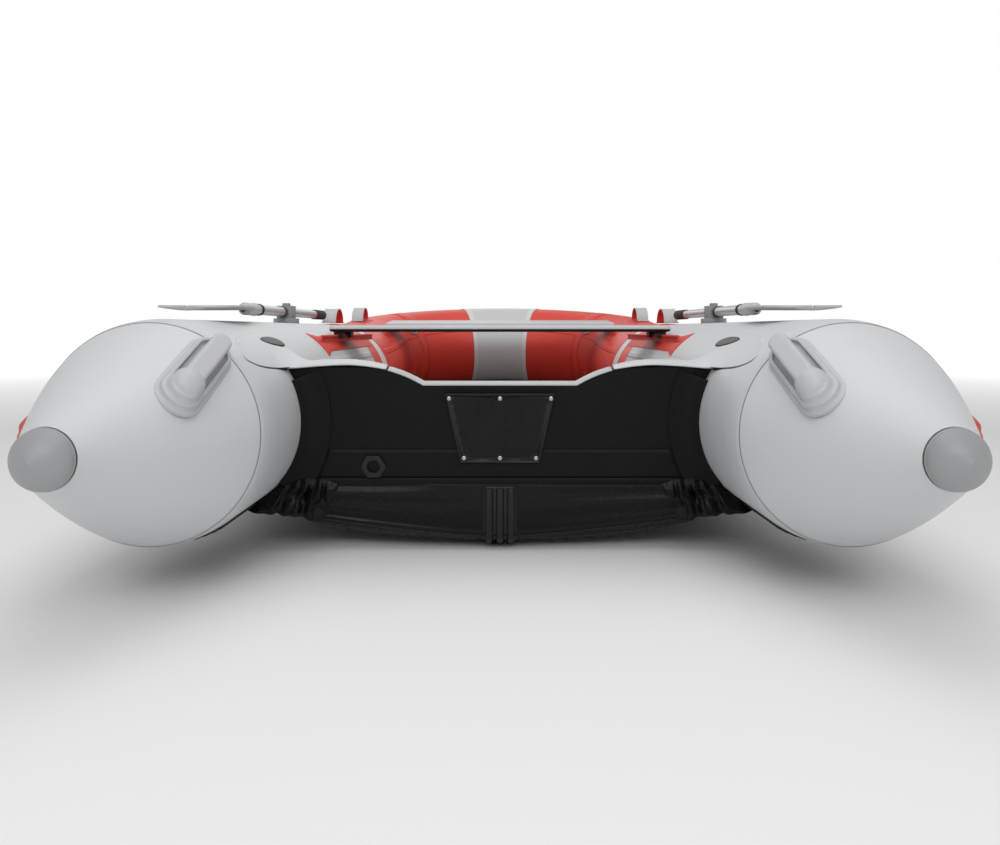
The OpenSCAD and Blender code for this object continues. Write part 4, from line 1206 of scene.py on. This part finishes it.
def blade(s, t):
    across = 2 * t - 1
    x = across * blade_half(s)
    y = blade_root - s * blade_l
    spoon = -0.006 * s ** 2 + 0.007 * (across ** 2 - 0.5) * sin(pi * min(1, s * 1.1) / 2)
    spine = 0.010 * exp(-(x / 0.011) ** 2) * (1 - s) ** 0.7
    return Vector((oar_x + x, y, oar_z + spoon + spine))


def socket(s, t):
    y = shaft_low.y - .018 + s * 0.088
    lip = 0.0012 if s > 0.93 else 0.0
    r = (shaft_r + 0.0022 + lip) * min(1, 0.55 + s * 3)
    return Vector((oar_x + r * cos(2 * pi * t), y, oar_z + r * sin(2 * pi * t)))


def oar_axis(p):
    return Vector((oar_x, p.y, oar_z))


for made in pair("oar_spoon", wrapped(64, 32, blade, (.4, .17),
                                      lambda p: Vector((p.x, p.y, oar_z - .2))),
                 blade_plastic, "grey_plastic", replaces=["oar_blade"], bodies="oar",
                 thick=-0.0048, rim=None, sharp=70):
    ease = made.modifiers.new("ease", "BEVEL")
    ease.width, ease.segments, ease.limit_method = 0.0012, 2, "ANGLE"
pair("oar_socket", wrapped(30, 40, socket, (.09, .1), oar_axis, closed=True), blade_plastic,
     "grey_plastic", bodies="oar")
for i, y in enumerate((shaft_low.y + .10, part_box("port_oar_collar")[0].y - .030,
                       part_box("port_oar_collar")[1].y + .012)):
    def ferrule(s, t, y=y):
        r = shaft_r + 0.0022 * sin(pi * s) ** 0.35
        return Vector((oar_x + r * cos(2 * pi * t), y + s * .018, oar_z + r * sin(2 * pi * t)))
    pair(f"oar_ferrule_{i + 1}", wrapped(14, 40, ferrule, (.02, .1), oar_axis, closed=True),
         grip_rubber, "black_grip", bodies="oar")

# ---------------------------------------------------------------- Valves and lashing rings
# Bayonet air valves on the inside of the bow, with pale caps, and steel rings on red
# patches that lash the load.
valve_plastic = surface("valve_plastic", (.62, .63, .64), (.56, .57, .58), 0.36, size=14)
for side in ("port_", "starboard_"):
    rounded_copy(side + "valve", 0.0012, valve_plastic, "grey_plastic")
    rounded_copy(side + "valve_cap", 0.0015, valve_plastic, "grey_plastic", body=side + "cap")
    paint(side + "lashing_ring", steel)
rounded_copy("lashing_patches", 0.0012, red_rail, "red_rail_fabric")

# ---------------------------------------------------------------- Patches
# Ribbed black rubber under each stern takes the wear of the beach, and a plain dark
# tapered patch trims each tube beside the transom.
wear_low, wear_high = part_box("stern_wear_patches")


def wear(s, t):
    y = wear_low.y + s * (wear_high.y - wear_low.y)
    a = radians(-122 + 52 * t)
    edge = min(1, min(s, 1 - s) * 40, min(t, 1 - t) * 24)
    rib = 0.5 + 0.5 * sin((s * 30 + t * 11) * 2 * pi)
    height = 0.0030 + 0.0026 * min(1, rib * 1.6)
    return straight(y, tube_r + 0.0006 + edge * height, a)


pair("wear_patch", wrapped(360, 48, wear, (.28, .2), axis_point), black_rubber,
     "black_rubber")
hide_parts("stern_wear_patches")
dark_patch = surface("dark_patch", (.10, .102, .105), (.08, .082, .084), 0.5,
                     weave=(.0012, .00006))


def trim_patch(lift, grow):
    """A long leaf that tapers to its after end"""
    def place(s, t):
        y = -0.915 - s * 0.125 + grow * (1 - 2 * s)
        half = (0.017 + grow) * sqrt(max(0, 1 - (1 - 2 * s) ** 2)) * (1 - 0.45 * s)
        a = radians(127) + (0.055 * (1 - s)) + (2 * t - 1) * half / tube_r
        return straight(y, tube_r + lift, a)
    return place


pair("trim_patch_edge", wrapped(40, 8, trim_patch(.0006, .004), (.14, .04), axis_point),
     black_rubber, "black_rubber", thick=0.0006)
pair("trim_patch", wrapped(40, 8, trim_patch(.0014, 0), (.12, .03), axis_point),
     dark_patch, "grey_tube_fabric", thick=0.0006)
